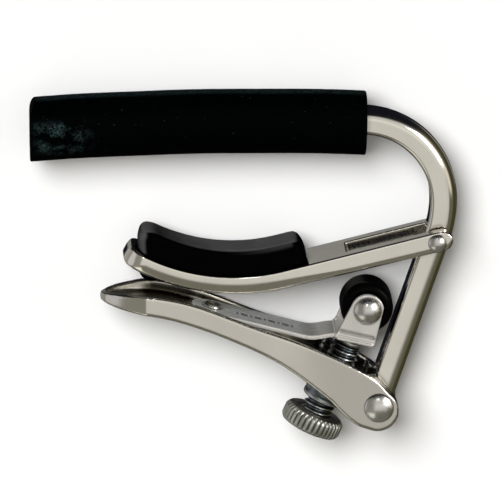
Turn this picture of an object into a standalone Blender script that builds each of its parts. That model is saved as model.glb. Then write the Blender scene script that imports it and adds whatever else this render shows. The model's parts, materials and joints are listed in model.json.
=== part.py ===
"""Guitar capo: a hooked bar in a rubber sleeve, a padded arm below it, and an over-centre lever
whose roller pushes the arm up. It lies on its side: X along the sleeve, Y across the neck's
thickness, Z up through the capo's width, with every hinge axis along Z.

Run with: blender --background --python part.py
"""

import math

import bmesh
import bpy
from mathutils import Matrix, Vector

MM = 0.001
# Where the drawing's origin lies, so that the whole capo stands centred on the world's origin.
DRAWING_ORIGIN = Vector((-0.01, 0.28, 8.78)) * MM
RUNNING_GAP = 0.08 * MM
SEAT_GAP = 0.25 * MM
ROUND_STEPS = 28
# A cutter's reach past every face of the capo.
BEYOND = 60.0 * MM

# Hooked bar: a flat bar bent in one plane.
LEVER_PIVOT = Vector((28.0, -28.9)) * MM
ARM_PIVOT = Vector((39.9, 5.6)) * MM
BAR_THICKNESS = 5.0 * MM
BAR_DEPTH = 6.2 * MM
BAR_EDGE = 0.9 * MM
LEG_TAIL = 0.8 * MM
KNEE_RADIUS = 24.0 * MM
BEND_RADIUS = 16.8 * MM
BAR_ARCH_RADIUS = 640.0 * MM
BAR_HEADING = 178.1
UPPER_BAR_STEPS = 8
BAR_END_X = -40.4 * MM

# Rubber sleeve on the upper bar.
SLEEVE_LEFT_X = -43.3 * MM
SLEEVE_RIGHT_X = 25.4 * MM
SLEEVE_RADIUS = 6.6 * MM

# Padded arm: a curved bar, forked where the hooked bar passes through it.
ARM_SLOPE = 13.9
ARM_HEIGHT = 4.4 * MM
ARM_TIP_HEIGHT = 3.5 * MM
ARM_DEPTH = 13.0 * MM
ARM_EDGE = 0.7 * MM
ARM_STRAIGHT = 32.0 * MM
ARM_CURVE_RADIUS = 44.0 * MM
ARM_CURVE_ANGLE = 44.5
ARM_NOSE = 3.3 * MM
ARM_END_ROUND = 5.6 * MM
ARM_TIP_TRIM = 0.6 * MM
FORK_LENGTH = 18.4 * MM
FORK_GAP = 7.12 * MM

# Rubber pad glued on the arm, held by a nub pulled through it.
PAD_THICKNESS = 4.7 * MM
PAD_DEPTH = 10.4 * MM
PAD_EDGE = 0.9 * MM
PAD_START = 27.0 * MM
PAD_END = 64.3 * MM
PAD_CORNER = 3.6 * MM
NUB_STATION = 59.6 * MM
NUB_RADIUS = 2.3 * MM
NUB_REACH = 1.4 * MM

# Lever: a deep trough with a rounded spoon tip and a slotted boss at its pivot.
LEVER_WIDTH = 15.6 * MM
LEVER_WALL = 1.6 * MM
LEVER_EDGE = 0.7 * MM
TIP_X = -29.3 * MM
TIP_ROUND = 10.5 * MM
PLAN_MARGIN = 0.4 * MM
BOSS_CENTRE = Vector((27.75, -29.65)) * MM
BOSS_RADIUS = 4.35 * MM
POCKET_RIGHT = Vector((26.9, -21.5)) * MM
SLOT_LOW_LEFT = Vector((21.0, -27.9)) * MM
SLOT_LOW_RIGHT = Vector((24.6, -31.6)) * MM
RIM_LINE = [(-28.9, -5.9), (-26.5, -5.4), (-22.0, -4.9), (-17.0, -5.1), (-9.1, -7.0),
            (2.1, -11.45), (12.2, -15.2), (21.3, -19.4), (27.3, -23.0), (30.2, -26.0)]
BELLY_LINE = [(-28.9, -6.7), (-24.7, -7.8), (-14.5, -9.9), (-3.4, -13.9), (7.6, -19.4),
              (17.0, -26.6), (20.6, -30.3), (23.6, -32.7), (26.6, -33.8)]
FLOOR_LINE = [(-27.6, -6.1), (-22.0, -6.7), (-15.5, -7.6), (-11.2, -8.7), (-4.0, -10.65),
              (-2.2, -11.7), (2.0, -14.3), (7.6, -17.5), (13.0, -21.4), (18.0, -25.6),
              (20.8, -28.2), (23.2, -30.6)]

# Leaf strap riveted in the trough, with two ears that carry the roller.
STRAP_WIDTH = 9.8 * MM
STRAP_THICKNESS = 0.9 * MM
STRAP_LEFT = Vector((-10.0, -7.95)) * MM
STRAP_KNEE = Vector((14.2, -14.3)) * MM
STRAP_SHOULDER = Vector((19.2, -13.5)) * MM
STRAP_END = Vector((27.4, -15.5)) * MM
STRAP_RIVET_X = -5.95 * MM
EAR_THICKNESS = 1.1 * MM
EAR_RADIUS = 3.4 * MM
EAR_ARC = (8.0, 152.0)
EAR_INSET = 0.15 * MM
EAR_SINK = 0.75
ROLLER_CENTRE = Vector((25.7, -8.75)) * MM
ROLLER_RADIUS = 5.4 * MM
ROLLER_WIDTH = 8.6 * MM
ROLLER_EDGE = 1.6 * MM
BUSH_WALL = 0.9 * MM

# Thumbscrew: distances along its axis are counted from the middle of the knob.
SCREW_ANGLE = 65.5
KNOB_CENTRE = Vector((14.7, -33.35)) * MM
KNOB_RADIUS = 6.35 * MM
KNOB_THICKNESS = 3.8 * MM
KNOB_FLUTES = 36
FLUTE_DEPTH = 0.28 * MM
FLUTE_WAVE = (0.0, 0.5, 1.0, 0.5)
THREAD_RADIUS = 3.175 * MM
SPIGOT_RADIUS = 2.0 * MM
SPIGOT_DEPTH = 0.8 * MM
INSERT_RADIUS = 4.3 * MM
INSERT_START = 4.7 * MM
INSERT_END = 10.2 * MM
STUD_END = 17.6 * MM
STUD_CHAMFER = 0.4 * MM
NECK_RADIUS = 1.5 * MM
NECK_END = 18.5 * MM
FOOT_RADIUS = 2.7 * MM
FOOT_RIM = 18.6 * MM
FOOT_TOP = 19.35 * MM

# Rivets: one shank radius and one head for each pivot.
ARM_RIVET_RADIUS = 1.2 * MM
ARM_HEAD_RADIUS = 1.85 * MM
ARM_HEAD_HEIGHT = 0.65 * MM
LEVER_RIVET_RADIUS = 1.5 * MM
LEVER_HEAD_RADIUS = 3.0 * MM
LEVER_HEAD_HEIGHT = 0.9 * MM
ROLLER_PIN_RADIUS = 1.5 * MM
ROLLER_HEAD_RADIUS = 2.85 * MM
ROLLER_HEAD_HEIGHT = 1.1 * MM
STRAP_RIVET_RADIUS = 1.1 * MM
STRAP_HEAD_RADIUS = 2.1 * MM
STRAP_HEAD_HEIGHT = 0.8 * MM
STRAP_RIVET_LENGTH = 2.9 * MM
WASHER_THICKNESS = 0.3 * MM
ARM_WASHER_RADIUS = 2.1 * MM
LEVER_WASHER_RADIUS = 2.6 * MM
ROLLER_WASHER_RADIUS = 2.6 * MM
EAR_INNER = ROLLER_WIDTH / 2 + 2 * RUNNING_GAP + WASHER_THICKNESS
EAR_OUTER = EAR_INNER + EAR_THICKNESS

NICKEL = ((0.74, 0.71, 0.66), 0.16, 1.0)
STEEL = ((0.55, 0.54, 0.52), 0.3, 1.0)
DARK_STEEL = ((0.10, 0.11, 0.13), 0.3, 1.0)
BRASS = ((0.72, 0.58, 0.3), 0.3, 1.0)
RUBBER = ((0.012, 0.013, 0.013), 0.55, 0.0)
NYLON = ((0.02, 0.02, 0.02), 0.4, 0.0)

parts = None
cutters = None


def clear_scene():
    for obj in list(bpy.data.objects):
        bpy.data.objects.remove(obj, do_unlink=True)


def new_collection(name):
    collection = bpy.data.collections.new(name)
    bpy.context.scene.collection.children.link(collection)
    return collection


def direction(degrees):
    return Vector((math.cos(math.radians(degrees)), math.sin(math.radians(degrees))))


def left_of(degrees):
    return direction(degrees + 90.0)


def arc(centre, radius, start, end, steps):
    """Points on a circle from the start angle to the end angle, both included."""
    angles = [start + (end - start) * i / steps for i in range(steps + 1)]
    return [centre + radius * direction(angle) for angle in angles]


def smooth_line(points, steps):
    """A Catmull-Rom line through points given in millimetres."""
    knots = [Vector(point) * MM for point in points]
    knots = [2 * knots[0] - knots[1]] + knots + [2 * knots[-1] - knots[-2]]
    line = []
    for a, b, c, d in zip(knots, knots[1:], knots[2:], knots[3:]):
        for i in range(steps):
            t = i / steps
            line.append(0.5 * (2 * b + (c - a) * t + (2 * a - 5 * b + 4 * c - d) * t ** 2
                               + (3 * b - a - 3 * c + d) * t ** 3))
    return line + [knots[-2]]


def walk(start, heading, moves):
    """Stations (point, heading, distance) of a path of (length, radius, steps) moves.

    A positive radius turns left, a negative one right, and None goes straight."""
    stations = [(start.copy(), heading, 0.0)]
    for length, radius, steps in moves:
        for _ in range(steps):
            point, heading, distance = stations[-1]
            step = length / steps
            turn = math.degrees(step / radius) if radius else 0.0
            chord = step if not radius else 2 * radius * math.sin(step / radius / 2)
            point = point + abs(chord) * direction(heading + turn / 2)
            stations.append((point, heading + turn, distance + step))
    return stations


def offset(stations, distance):
    return [point + distance * left_of(heading) for point, heading, _ in stations]


def to_mesh(obj):
    """Turns a curve object into a welded mesh object of the same name."""
    graph = bpy.context.evaluated_depsgraph_get()
    mesh = bpy.data.meshes.new_from_object(obj.evaluated_get(graph))
    work = bmesh.new()
    work.from_mesh(mesh)
    bmesh.ops.remove_doubles(work, verts=work.verts, dist=0.000002)
    bmesh.ops.recalc_face_normals(work, faces=work.faces)
    work.to_mesh(mesh)
    work.free()
    name = obj.name
    world = obj.matrix_world.copy()
    curve = obj.data
    bpy.data.objects.remove(obj, do_unlink=True)
    bpy.data.curves.remove(curve)
    solid = bpy.data.objects.new(name, mesh)
    solid.matrix_world = world
    return solid


def link(obj, collection):
    collection.objects.link(obj)
    if collection is cutters:
        obj.hide_render = True
        obj.display_type = "WIRE"
    return obj


def plate(name, outline, low, high, collection, place=None):
    """A flat outline extruded from low to high above the drawing's plane, or above its place."""
    curve = bpy.data.curves.new(name, "CURVE")
    curve.dimensions = "2D"
    curve.fill_mode = "BOTH"
    curve.extrude = (high - low) / 2
    spline = curve.splines.new("POLY")
    spline.points.add(len(outline) - 1)
    for slot, point in zip(spline.points, outline):
        slot.co = (point[0], point[1], 0.0, 1.0)
    spline.use_cyclic_u = True
    obj = bpy.data.objects.new(name, curve)
    bpy.context.scene.collection.objects.link(obj)
    place = place or upright((0.0, 0.0))
    obj.matrix_world = place @ Matrix.Translation((0, 0, (low + high) / 2))
    bpy.context.view_layer.update()
    return link(to_mesh(obj), collection)


def turned(name, profile, place, collection, closed=False):
    """A profile of (radius, height) points, run down its outer side, turned about Z."""
    mesh = bpy.data.meshes.new(name)
    points = [(radius, 0.0, height) for radius, height in profile]
    edges = [(i, i + 1) for i in range(len(points) - 1)]
    if closed:
        edges.append((len(points) - 1, 0))
    mesh.from_pydata(points, edges, [])
    obj = bpy.data.objects.new(name, mesh)
    obj.matrix_world = place
    screw = obj.modifiers.new("turn", "SCREW")
    screw.steps = ROUND_STEPS
    screw.render_steps = ROUND_STEPS
    screw.use_merge_vertices = True
    screw.merge_threshold = 0.00002
    screw.use_smooth_shade = True
    return link(obj, collection)


def upright(point):
    return Matrix.Translation(DRAWING_ORIGIN + Vector((point[0], point[1], 0.0)))


def along(point, degrees):
    """A frame at a point of the middle plane, with its Z along an in-plane direction."""
    heading = direction(degrees)
    axis = Vector((heading.x, heading.y, 0.0))
    side = Vector((0.0, 0.0, 1.0))
    frame = Matrix((side, axis.cross(side), axis)).transposed()
    return upright(point) @ frame.to_4x4()


def rod(name, place, radius, low, high, collection):
    profile = [(0.0, high), (radius, high), (radius, low), (0.0, low)]
    return turned(name, profile, place, collection)


def ring(name, place, inner, outer, low, high, collection):
    profile = [(inner, high), (outer, high), (outer, low), (inner, low)]
    return turned(name, profile, place, collection, closed=True)


def dome(radius, rim, top):
    """A turned profile's round cap, from its top on the axis out to its rim."""
    rise = top - rim
    sphere = (radius ** 2 + rise ** 2) / (2 * rise)
    steps = [radius * i / 4 for i in range(5)]
    return [(step, top - sphere + math.sqrt(sphere ** 2 - step ** 2)) for step in steps]


def cut(obj, cutter, operation="DIFFERENCE"):
    boolean = obj.modifiers.new(cutter.name, "BOOLEAN")
    boolean.operation = operation
    boolean.object = cutter
    boolean.solver = "EXACT"


def round_edges(obj, width, segments=3):
    bevel = obj.modifiers.new("round_edges", "BEVEL")
    bevel.width = width
    bevel.segments = segments
    bevel.limit_method = "ANGLE"
    bevel.angle_limit = math.radians(50)


def finish(obj, look, axis):
    """Gives a part its own material and hangs it on the empty of its axis."""
    colour, roughness, metallic = look
    material = bpy.data.materials.new(obj.name)
    material.use_nodes = True
    shader = material.node_tree.nodes["Principled BSDF"]
    shader.inputs["Base Color"].default_value = (*colour, 1.0)
    shader.inputs["Roughness"].default_value = roughness
    shader.inputs["Metallic"].default_value = metallic
    obj.data.materials.append(material)
    world = obj.matrix_world.copy()
    obj.parent = axis
    obj.matrix_parent_inverse = axis.matrix_world.inverted()
    obj.matrix_world = world
    obj.data.shade_smooth()
    return obj


def axis_empty(name, place, parent=None):
    empty = bpy.data.objects.new(name, None)
    empty.empty_display_size = 4 * MM
    empty.matrix_world = place
    parts.objects.link(empty)
    bpy.context.view_layer.update()
    if parent:
        empty.parent = parent
        empty.matrix_parent_inverse = parent.matrix_world.inverted()
    return empty


def leg_heading():
    leg = ARM_PIVOT - LEVER_PIVOT
    return math.degrees(math.atan2(leg.y, leg.x))


def bar_stations(end_x):
    """Centre line of the hooked bar, from the leg's tail to the given end of the upper bar."""
    heading = leg_heading()
    leg_length = LEG_TAIL + (ARM_PIVOT - LEVER_PIVOT).length
    knee = KNEE_RADIUS * math.radians(90.0 - heading)
    bend = BEND_RADIUS * math.radians(BAR_HEADING - 90.0)
    start = LEVER_PIVOT - LEG_TAIL * direction(heading)
    moves = [(leg_length, None, 1), (knee, KNEE_RADIUS, 6), (bend, BEND_RADIUS, 24)]
    after_bend = walk(start, heading, moves)[-1][0]
    moves.append((after_bend.x - end_x, BAR_ARCH_RADIUS, UPPER_BAR_STEPS))
    return walk(start, heading, moves)


def make_hook_bar(axis):
    stations = bar_stations(BAR_END_X)
    half = BAR_THICKNESS / 2
    tail, tail_heading, _ = stations[0]
    tip, tip_heading, _ = stations[-1]
    outline = offset(stations, -half)
    outline += arc(tip, half, tip_heading - 90, tip_heading + 90, 8)[1:-1]
    outline += offset(stations, half)[::-1]
    outline += arc(tail, half, tail_heading + 90, tail_heading + 270, 8)[1:-1]
    bar = plate("hook_bar", outline, -BAR_DEPTH / 2, BAR_DEPTH / 2, parts)
    round_edges(bar, BAR_EDGE)
    reach = BAR_DEPTH
    for name, pivot, radius in (("arm_pivot_hole", ARM_PIVOT, ARM_RIVET_RADIUS),
                                ("lever_pivot_hole", LEVER_PIVOT, LEVER_RIVET_RADIUS)):
        cut(bar, rod(name, upright(pivot), radius + RUNNING_GAP, -reach, reach, cutters))
    return finish(bar, NICKEL, axis)


def make_sleeve(axis):
    stations = bar_stations(SLEEVE_LEFT_X)[-UPPER_BAR_STEPS - 1:]
    first, heading, _ = stations[0]
    run = SLEEVE_RIGHT_X - first.x
    stations[0] = (first - run * direction(heading), heading, 0.0)
    curve = bpy.data.curves.new("string_sleeve", "CURVE")
    curve.dimensions = "3D"
    curve.bevel_depth = SLEEVE_RADIUS
    curve.bevel_resolution = 5
    curve.use_fill_caps = True
    spline = curve.splines.new("POLY")
    spline.points.add(len(stations) - 1)
    for slot, (point, _, _) in zip(spline.points, stations):
        slot.co = (*(DRAWING_ORIGIN + point.to_3d()), 1.0)
    obj = bpy.data.objects.new("string_sleeve", curve)
    bpy.context.scene.collection.objects.link(obj)
    bpy.context.view_layer.update()
    sleeve = link(to_mesh(obj), parts)
    long_bar = bar_stations(SLEEVE_LEFT_X - SLEEVE_RADIUS)
    room = BAR_THICKNESS / 2 + SEAT_GAP
    passage = offset(long_bar, -room) + offset(long_bar, room)[::-1]
    half = BAR_DEPTH / 2 + SEAT_GAP
    cut(sleeve, plate("bar_passage", passage, -half, half, cutters))
    return finish(sleeve, RUBBER, axis)


def arm_stations():
    """Centre line of the arm, from its nose past the pivot to its curved tip."""
    heading = ARM_SLOPE + 180.0
    start = ARM_PIVOT - ARM_NOSE * direction(heading)
    curve = ARM_CURVE_RADIUS * math.radians(ARM_CURVE_ANGLE)
    moves = [(ARM_NOSE + ARM_STRAIGHT, None, 1), (curve, -ARM_CURVE_RADIUS, 18)]
    return walk(start, heading, moves)


def arm_height(distance):
    """The arm's height at a distance from its nose: it thins from the fork to the tip."""
    full = ARM_NOSE + ARM_STRAIGHT + ARM_CURVE_RADIUS * math.radians(ARM_CURVE_ANGLE)
    return ARM_HEIGHT + (ARM_TIP_HEIGHT - ARM_HEIGHT) * distance / full


def arm_station_at(distance):
    """The point and heading at a distance from the arm's pivot along its centre line."""
    heading = ARM_SLOPE + 180.0
    moves = [(min(distance, ARM_STRAIGHT), None, 1)]
    if distance > ARM_STRAIGHT:
        moves.append((distance - ARM_STRAIGHT, -ARM_CURVE_RADIUS, 4))
    return walk(ARM_PIVOT, heading, moves)[-1]


def plan_shape(name, left, right, half_depth, end_length, collection):
    """A tongue in the XZ plane with an elliptical left end, extruded through the whole Y range."""
    outline = [Vector((right, half_depth)), Vector((right, -half_depth))]
    nose = Vector((left + end_length, 0.0))
    for i in range(17):
        angle = math.radians(270 - 180 * i / 16)
        outline.append(nose + Vector((end_length * math.cos(angle), half_depth * math.sin(angle))))
    place = upright((0.0, 0.0)) @ Matrix.Rotation(math.radians(90), 4, "X")
    return plate(name, outline, -BEYOND, BEYOND, collection, place)


def make_pad_arm(axis):
    stations = arm_stations()
    half = ARM_HEIGHT / 2
    nose, nose_heading, _ = stations[0]
    nose = nose + half * direction(nose_heading)
    stations[0] = (nose, nose_heading, 0.0)
    outline = [point + (arm_height(distance) - half) * left_of(heading)
               for point, heading, distance in stations]
    outline += offset(stations, -half)[::-1]
    outline += arc(nose, half, nose_heading - 90, nose_heading - 270, 10)[1:-1]
    arm = plate("pad_arm", outline, -ARM_DEPTH / 2, ARM_DEPTH / 2, parts)
    round_edges(arm, ARM_EDGE)
    left = min(point.x for point in outline) + ARM_TIP_TRIM
    tongue = plan_shape("arm_plan", left, BEYOND, ARM_DEPTH, ARM_END_ROUND, cutters)
    cut(arm, tongue, "INTERSECT")
    along_arm = direction(ARM_SLOPE)
    up = left_of(ARM_SLOPE)
    inner = ARM_PIVOT - FORK_LENGTH * along_arm
    outer = ARM_PIVOT + 3 * ARM_NOSE * along_arm
    fork = [inner - ARM_HEIGHT * up, outer - ARM_HEIGHT * up,
            outer + ARM_HEIGHT * up, inner + ARM_HEIGHT * up]
    cut(arm, plate("arm_fork", fork, -FORK_GAP / 2, FORK_GAP / 2, cutters))
    hole = ARM_RIVET_RADIUS + RUNNING_GAP
    cut(arm, rod("arm_rivet_hole", upright(ARM_PIVOT), hole, -ARM_DEPTH, ARM_DEPTH, cutters))
    point, heading, _ = arm_station_at(NUB_STATION)
    nub_hole = rod("nub_hole", along(point, heading - 90), NUB_RADIUS + SEAT_GAP,
                   -ARM_HEIGHT, ARM_HEIGHT, cutters)
    cut(arm, nub_hole)
    return finish(arm, NICKEL, axis)


def make_neck_pad(axis):
    stations = [arm_station_at(PAD_START + (PAD_END - PAD_START) * i / 18) for i in range(19)]
    bottom = ARM_HEIGHT / 2 + SEAT_GAP
    top = ARM_HEIGHT / 2 + PAD_THICKNESS
    outline = offset(stations, -bottom)
    upper = []
    for i, (point, heading, _) in enumerate(stations):
        from_end = min(i, len(stations) - 1 - i) / 18 * (PAD_END - PAD_START)
        drop = 0.0
        if from_end < PAD_CORNER:
            drop = PAD_CORNER - math.sqrt(PAD_CORNER ** 2 - (PAD_CORNER - from_end) ** 2)
        upper.append(point + (top - min(drop, 0.75 * PAD_THICKNESS)) * -left_of(heading))
    outline += upper[::-1]
    pad = plate("neck_pad", outline, -PAD_DEPTH / 2, PAD_DEPTH / 2, parts)
    round_edges(pad, PAD_EDGE)
    point, heading, _ = arm_station_at(NUB_STATION)
    inside = ARM_HEIGHT / 2 + PAD_THICKNESS / 2
    nub = rod("pad_nub", along(point, heading - 90), NUB_RADIUS,
              -ARM_HEIGHT / 2 - NUB_REACH, inside, cutters)
    cut(pad, nub, "UNION")
    return finish(pad, RUBBER, axis)


def double_rivet(name, pivot, shank, head, height, half_span, look, axis):
    """A rivet on an axis along Z with a domed head on each side."""
    seat = half_span + RUNNING_GAP
    profile = dome(head, seat, seat + height) + [(shank, seat)]
    profile += [(radius, -z) for radius, z in profile[::-1]]
    return finish(turned(name, profile, upright(pivot), parts), look, axis)


def washer_pair(name, pivot, inner, outer, low, look, axis):
    """A washer on each side of the middle plane, its inner face low from that plane."""
    top = low + WASHER_THICKNESS
    finish(ring(name + "_near", upright(pivot), inner, outer, low, top, parts), look, axis)
    finish(ring(name + "_far", upright(pivot), inner, outer, -top, -low, parts), look, axis)


def make_lever(axis):
    boss = arc(BOSS_CENTRE, BOSS_RADIUS, -105, 40, 12)
    outline = smooth_line(BELLY_LINE, 4) + boss + smooth_line(RIM_LINE, 4)[::-1]
    half = LEVER_WIDTH / 2
    lever = plate("lever", outline, -half, half, parts)
    round_edges(lever, LEVER_EDGE)
    spoon = plan_shape("lever_plan", TIP_X, BEYOND, half + PLAN_MARGIN, TIP_ROUND, cutters)
    cut(lever, spoon, "INTERSECT")
    floor = smooth_line(FLOOR_LINE, 4)
    pocket_outline = floor + [POCKET_RIGHT, Vector((POCKET_RIGHT.x, 0.0)),
                              Vector((floor[0].x, 0.0))]
    room = half - LEVER_WALL
    pocket = plate("lever_pocket", pocket_outline, -room, room, cutters)
    inner_plan = plan_shape("pocket_plan", TIP_X + LEVER_WALL, BEYOND, room + PLAN_MARGIN,
                            TIP_ROUND, cutters)
    cut(pocket, inner_plan, "INTERSECT")
    cut(lever, pocket)
    slot_half = FORK_GAP / 2
    slot = [Vector((SLOT_LOW_LEFT.x, 0.0)), SLOT_LOW_LEFT, SLOT_LOW_RIGHT,
            Vector((SLOT_LOW_RIGHT.x, -BEYOND)), Vector((BEYOND, -BEYOND)), Vector((BEYOND, 0.0))]
    cut(lever, plate("leg_slot", slot, -slot_half, slot_half, cutters))
    hole = LEVER_RIVET_RADIUS + RUNNING_GAP
    cut(lever, rod("lever_rivet_hole", upright(LEVER_PIVOT), hole,
                   -LEVER_WIDTH, LEVER_WIDTH, cutters))
    screw_frame = along(KNOB_CENTRE, SCREW_ANGLE)
    cut(lever, rod("insert_hole", screw_frame, INSERT_RADIUS + RUNNING_GAP,
                   0.0, STUD_END, cutters))
    rivet_place, _ = strap_rivet_frame()
    pit_floor = -STRAP_RIVET_LENGTH - SEAT_GAP
    cut(lever, rod("strap_rivet_pit", rivet_place, STRAP_RIVET_RADIUS + RUNNING_GAP,
                   pit_floor, STRAP_RIVET_LENGTH, cutters))
    return finish(lever, NICKEL, axis)


def strap_rivet_frame():
    """The strap rivet's frame, at the strap's top face, and its point in the plane."""
    run = STRAP_KNEE - STRAP_LEFT
    point = STRAP_LEFT + run * ((STRAP_RIVET_X - STRAP_LEFT.x) / run.x)
    heading = math.degrees(math.atan2(run.y, run.x))
    return along(point, heading + 90), point


def make_roller_strap(axis):
    top = [STRAP_LEFT, STRAP_KNEE, STRAP_SHOULDER, STRAP_END]
    headings = []
    for a, b in zip(top, top[1:]):
        headings.append(math.degrees(math.atan2(b.y - a.y, b.x - a.x)))
    headings = [headings[0], (headings[0] + headings[1]) / 2,
                (headings[1] + headings[2]) / 2, headings[2]]
    under = [point - STRAP_THICKNESS * left_of(heading) for point, heading in zip(top, headings)]
    half = STRAP_WIDTH / 2
    strap = plate("roller_strap", under + top[::-1], -half, half, parts)
    plan = plan_shape("strap_plan", STRAP_LEFT.x - PLAN_MARGIN, BEYOND, half, half, cutters)
    cut(strap, plan, "INTERSECT")
    cradle = under[2:] + [top[3], top[2]]
    cut(strap, plate("strap_cradle", cradle, -EAR_OUTER, EAR_OUTER, cutters), "UNION")
    feet = [top[2].lerp(under[2], EAR_SINK), top[3].lerp(under[3], EAR_SINK)]
    ear = [feet[0] + EAR_INSET * direction(headings[3]), feet[1] - EAR_INSET * direction(headings[3])]
    ear += arc(ROLLER_CENTRE, EAR_RADIUS, *EAR_ARC, 12)
    for name, low in (("near_ear", EAR_INNER), ("far_ear", -EAR_OUTER)):
        cut(strap, plate(name, ear, low, low + EAR_THICKNESS, cutters), "UNION")
    cut(strap, rod("roller_pin_hole", upright(ROLLER_CENTRE), ROLLER_PIN_RADIUS + RUNNING_GAP,
                   -2 * EAR_OUTER, 2 * EAR_OUTER, cutters))
    place, _ = strap_rivet_frame()
    cut(strap, rod("strap_hole", place, STRAP_RIVET_RADIUS + RUNNING_GAP,
                   -STRAP_RIVET_LENGTH, STRAP_RIVET_LENGTH, cutters))
    return finish(strap, NICKEL, axis)


def make_strap_rivet(axis):
    place, _ = strap_rivet_frame()
    seat = RUNNING_GAP
    profile = dome(STRAP_HEAD_RADIUS, seat, seat + STRAP_HEAD_HEIGHT)
    profile += [(STRAP_RIVET_RADIUS, seat), (STRAP_RIVET_RADIUS, -STRAP_RIVET_LENGTH),
                (0.0, -STRAP_RIVET_LENGTH)]
    return finish(turned("strap_rivet", profile, place, parts), STEEL, axis)


def make_roller(axis):
    place = upright(ROLLER_CENTRE)
    half = ROLLER_WIDTH / 2
    bush_outer = ROLLER_PIN_RADIUS + RUNNING_GAP + BUSH_WALL
    core = bush_outer + RUNNING_GAP
    profile = [(core, half)]
    for corner, start in ((half - ROLLER_EDGE, 90), (ROLLER_EDGE - half, 0)):
        for point in arc(Vector((ROLLER_RADIUS - ROLLER_EDGE, corner)), ROLLER_EDGE,
                         start, start - 90, 3):
            profile.append((point.x, point.y))
    profile.append((core, -half))
    finish(turned("roller_tyre", profile, place, parts, closed=True), NYLON, axis)
    bush = ring("roller_bush", place, ROLLER_PIN_RADIUS + RUNNING_GAP, bush_outer,
                -half, half, parts)
    finish(bush, BRASS, axis)


def make_screw(axis):
    place = along(KNOB_CENTRE, SCREW_ANGLE)
    rim = []
    for i in range(KNOB_FLUTES * 4):
        angle = 360.0 * i / (KNOB_FLUTES * 4)
        radius = KNOB_RADIUS - FLUTE_DEPTH * FLUTE_WAVE[i % 4]
        rim.append(radius * direction(angle))
    half = KNOB_THICKNESS / 2
    knob = plate("screw_knob", rim, -half, half, parts, place)
    cut(knob, rod("spigot_hole", place, SPIGOT_RADIUS + RUNNING_GAP,
                  -SPIGOT_DEPTH - RUNNING_GAP, KNOB_THICKNESS, cutters))
    finish(knob, STEEL, axis)
    shoulder = half + RUNNING_GAP
    profile = [(0.0, NECK_END), (NECK_RADIUS, NECK_END), (NECK_RADIUS, STUD_END),
               (THREAD_RADIUS - STUD_CHAMFER, STUD_END), (THREAD_RADIUS, STUD_END - STUD_CHAMFER),
               (THREAD_RADIUS, shoulder), (SPIGOT_RADIUS, shoulder),
               (SPIGOT_RADIUS, -SPIGOT_DEPTH), (0.0, -SPIGOT_DEPTH)]
    finish(turned("screw_stud", profile, place, parts), DARK_STEEL, axis)


def make_screw_foot(axis):
    """A swivelling cap on the stud's neck, with a domed top that bears on the strap."""
    place = along(KNOB_CENTRE, SCREW_ANGLE)
    low = STUD_END + RUNNING_GAP
    room = NECK_RADIUS + RUNNING_GAP
    roof = NECK_END + RUNNING_GAP
    profile = dome(FOOT_RADIUS, FOOT_RIM, FOOT_TOP)
    profile += [(FOOT_RADIUS, low), (room, low), (room, roof), (0.0, roof)]
    finish(turned("screw_foot", profile, place, parts), STEEL, axis)


def make_insert(axis):
    place = along(KNOB_CENTRE, SCREW_ANGLE)
    insert = ring("thread_insert", place, THREAD_RADIUS + RUNNING_GAP, INSERT_RADIUS,
                  INSERT_START, INSERT_END, parts)
    finish(insert, DARK_STEEL, axis)


def build():
    hook_axis = axis_empty("hook_frame", upright(Vector((0.0, 0.0))))
    arm_axis = axis_empty("arm_axis", upright(ARM_PIVOT), hook_axis)
    lever_axis = axis_empty("lever_axis", upright(LEVER_PIVOT), hook_axis)
    rivet_place, rivet_point = strap_rivet_frame()
    strap_axis = axis_empty("strap_axis", upright(rivet_point), lever_axis)
    roller_axis = axis_empty("roller_axis", upright(ROLLER_CENTRE), strap_axis)
    screw_axis = axis_empty("screw_axis", along(KNOB_CENTRE, SCREW_ANGLE), lever_axis)
    make_hook_bar(hook_axis)
    make_sleeve(hook_axis)
    make_pad_arm(arm_axis)
    make_neck_pad(arm_axis)
    double_rivet("arm_rivet", ARM_PIVOT, ARM_RIVET_RADIUS, ARM_HEAD_RADIUS, ARM_HEAD_HEIGHT,
                 ARM_DEPTH / 2, NICKEL, arm_axis)
    beside_bar = BAR_DEPTH / 2 + RUNNING_GAP
    washer_pair("arm_washer", ARM_PIVOT, ARM_RIVET_RADIUS + RUNNING_GAP, ARM_WASHER_RADIUS,
                beside_bar, BRASS, arm_axis)
    make_lever(lever_axis)
    double_rivet("lever_rivet", LEVER_PIVOT, LEVER_RIVET_RADIUS, LEVER_HEAD_RADIUS,
                 LEVER_HEAD_HEIGHT, LEVER_WIDTH / 2, NICKEL, lever_axis)
    washer_pair("lever_washer", LEVER_PIVOT, LEVER_RIVET_RADIUS + RUNNING_GAP,
                LEVER_WASHER_RADIUS, beside_bar, BRASS, lever_axis)
    make_insert(lever_axis)
    make_roller_strap(strap_axis)
    make_strap_rivet(lever_axis)
    double_rivet("roller_pin", ROLLER_CENTRE, ROLLER_PIN_RADIUS, ROLLER_HEAD_RADIUS,
                 ROLLER_HEAD_HEIGHT, EAR_OUTER, NICKEL, strap_axis)
    washer_pair("roller_washer", ROLLER_CENTRE, ROLLER_PIN_RADIUS + RUNNING_GAP,
                ROLLER_WASHER_RADIUS, ROLLER_WIDTH / 2 + RUNNING_GAP, STEEL, strap_axis)
    make_roller(roller_axis)
    make_screw(screw_axis)
    make_screw_foot(screw_axis)


clear_scene()
parts = new_collection("guitar_capo")
cutters = new_collection("capo_cutters")
cutters.hide_render = True
build()
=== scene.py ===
"""Looks for the guitar capo: polished nickel bars, a black rubber sleeve and pad, worn steel
screw parts and a black nylon roller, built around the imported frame.

Lengths are in metres, in the frame's own axes: X along the sleeve, Y across the neck's
thickness, Z up through the capo's width. Outlines are drawn in the middle plane.
"""

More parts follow.
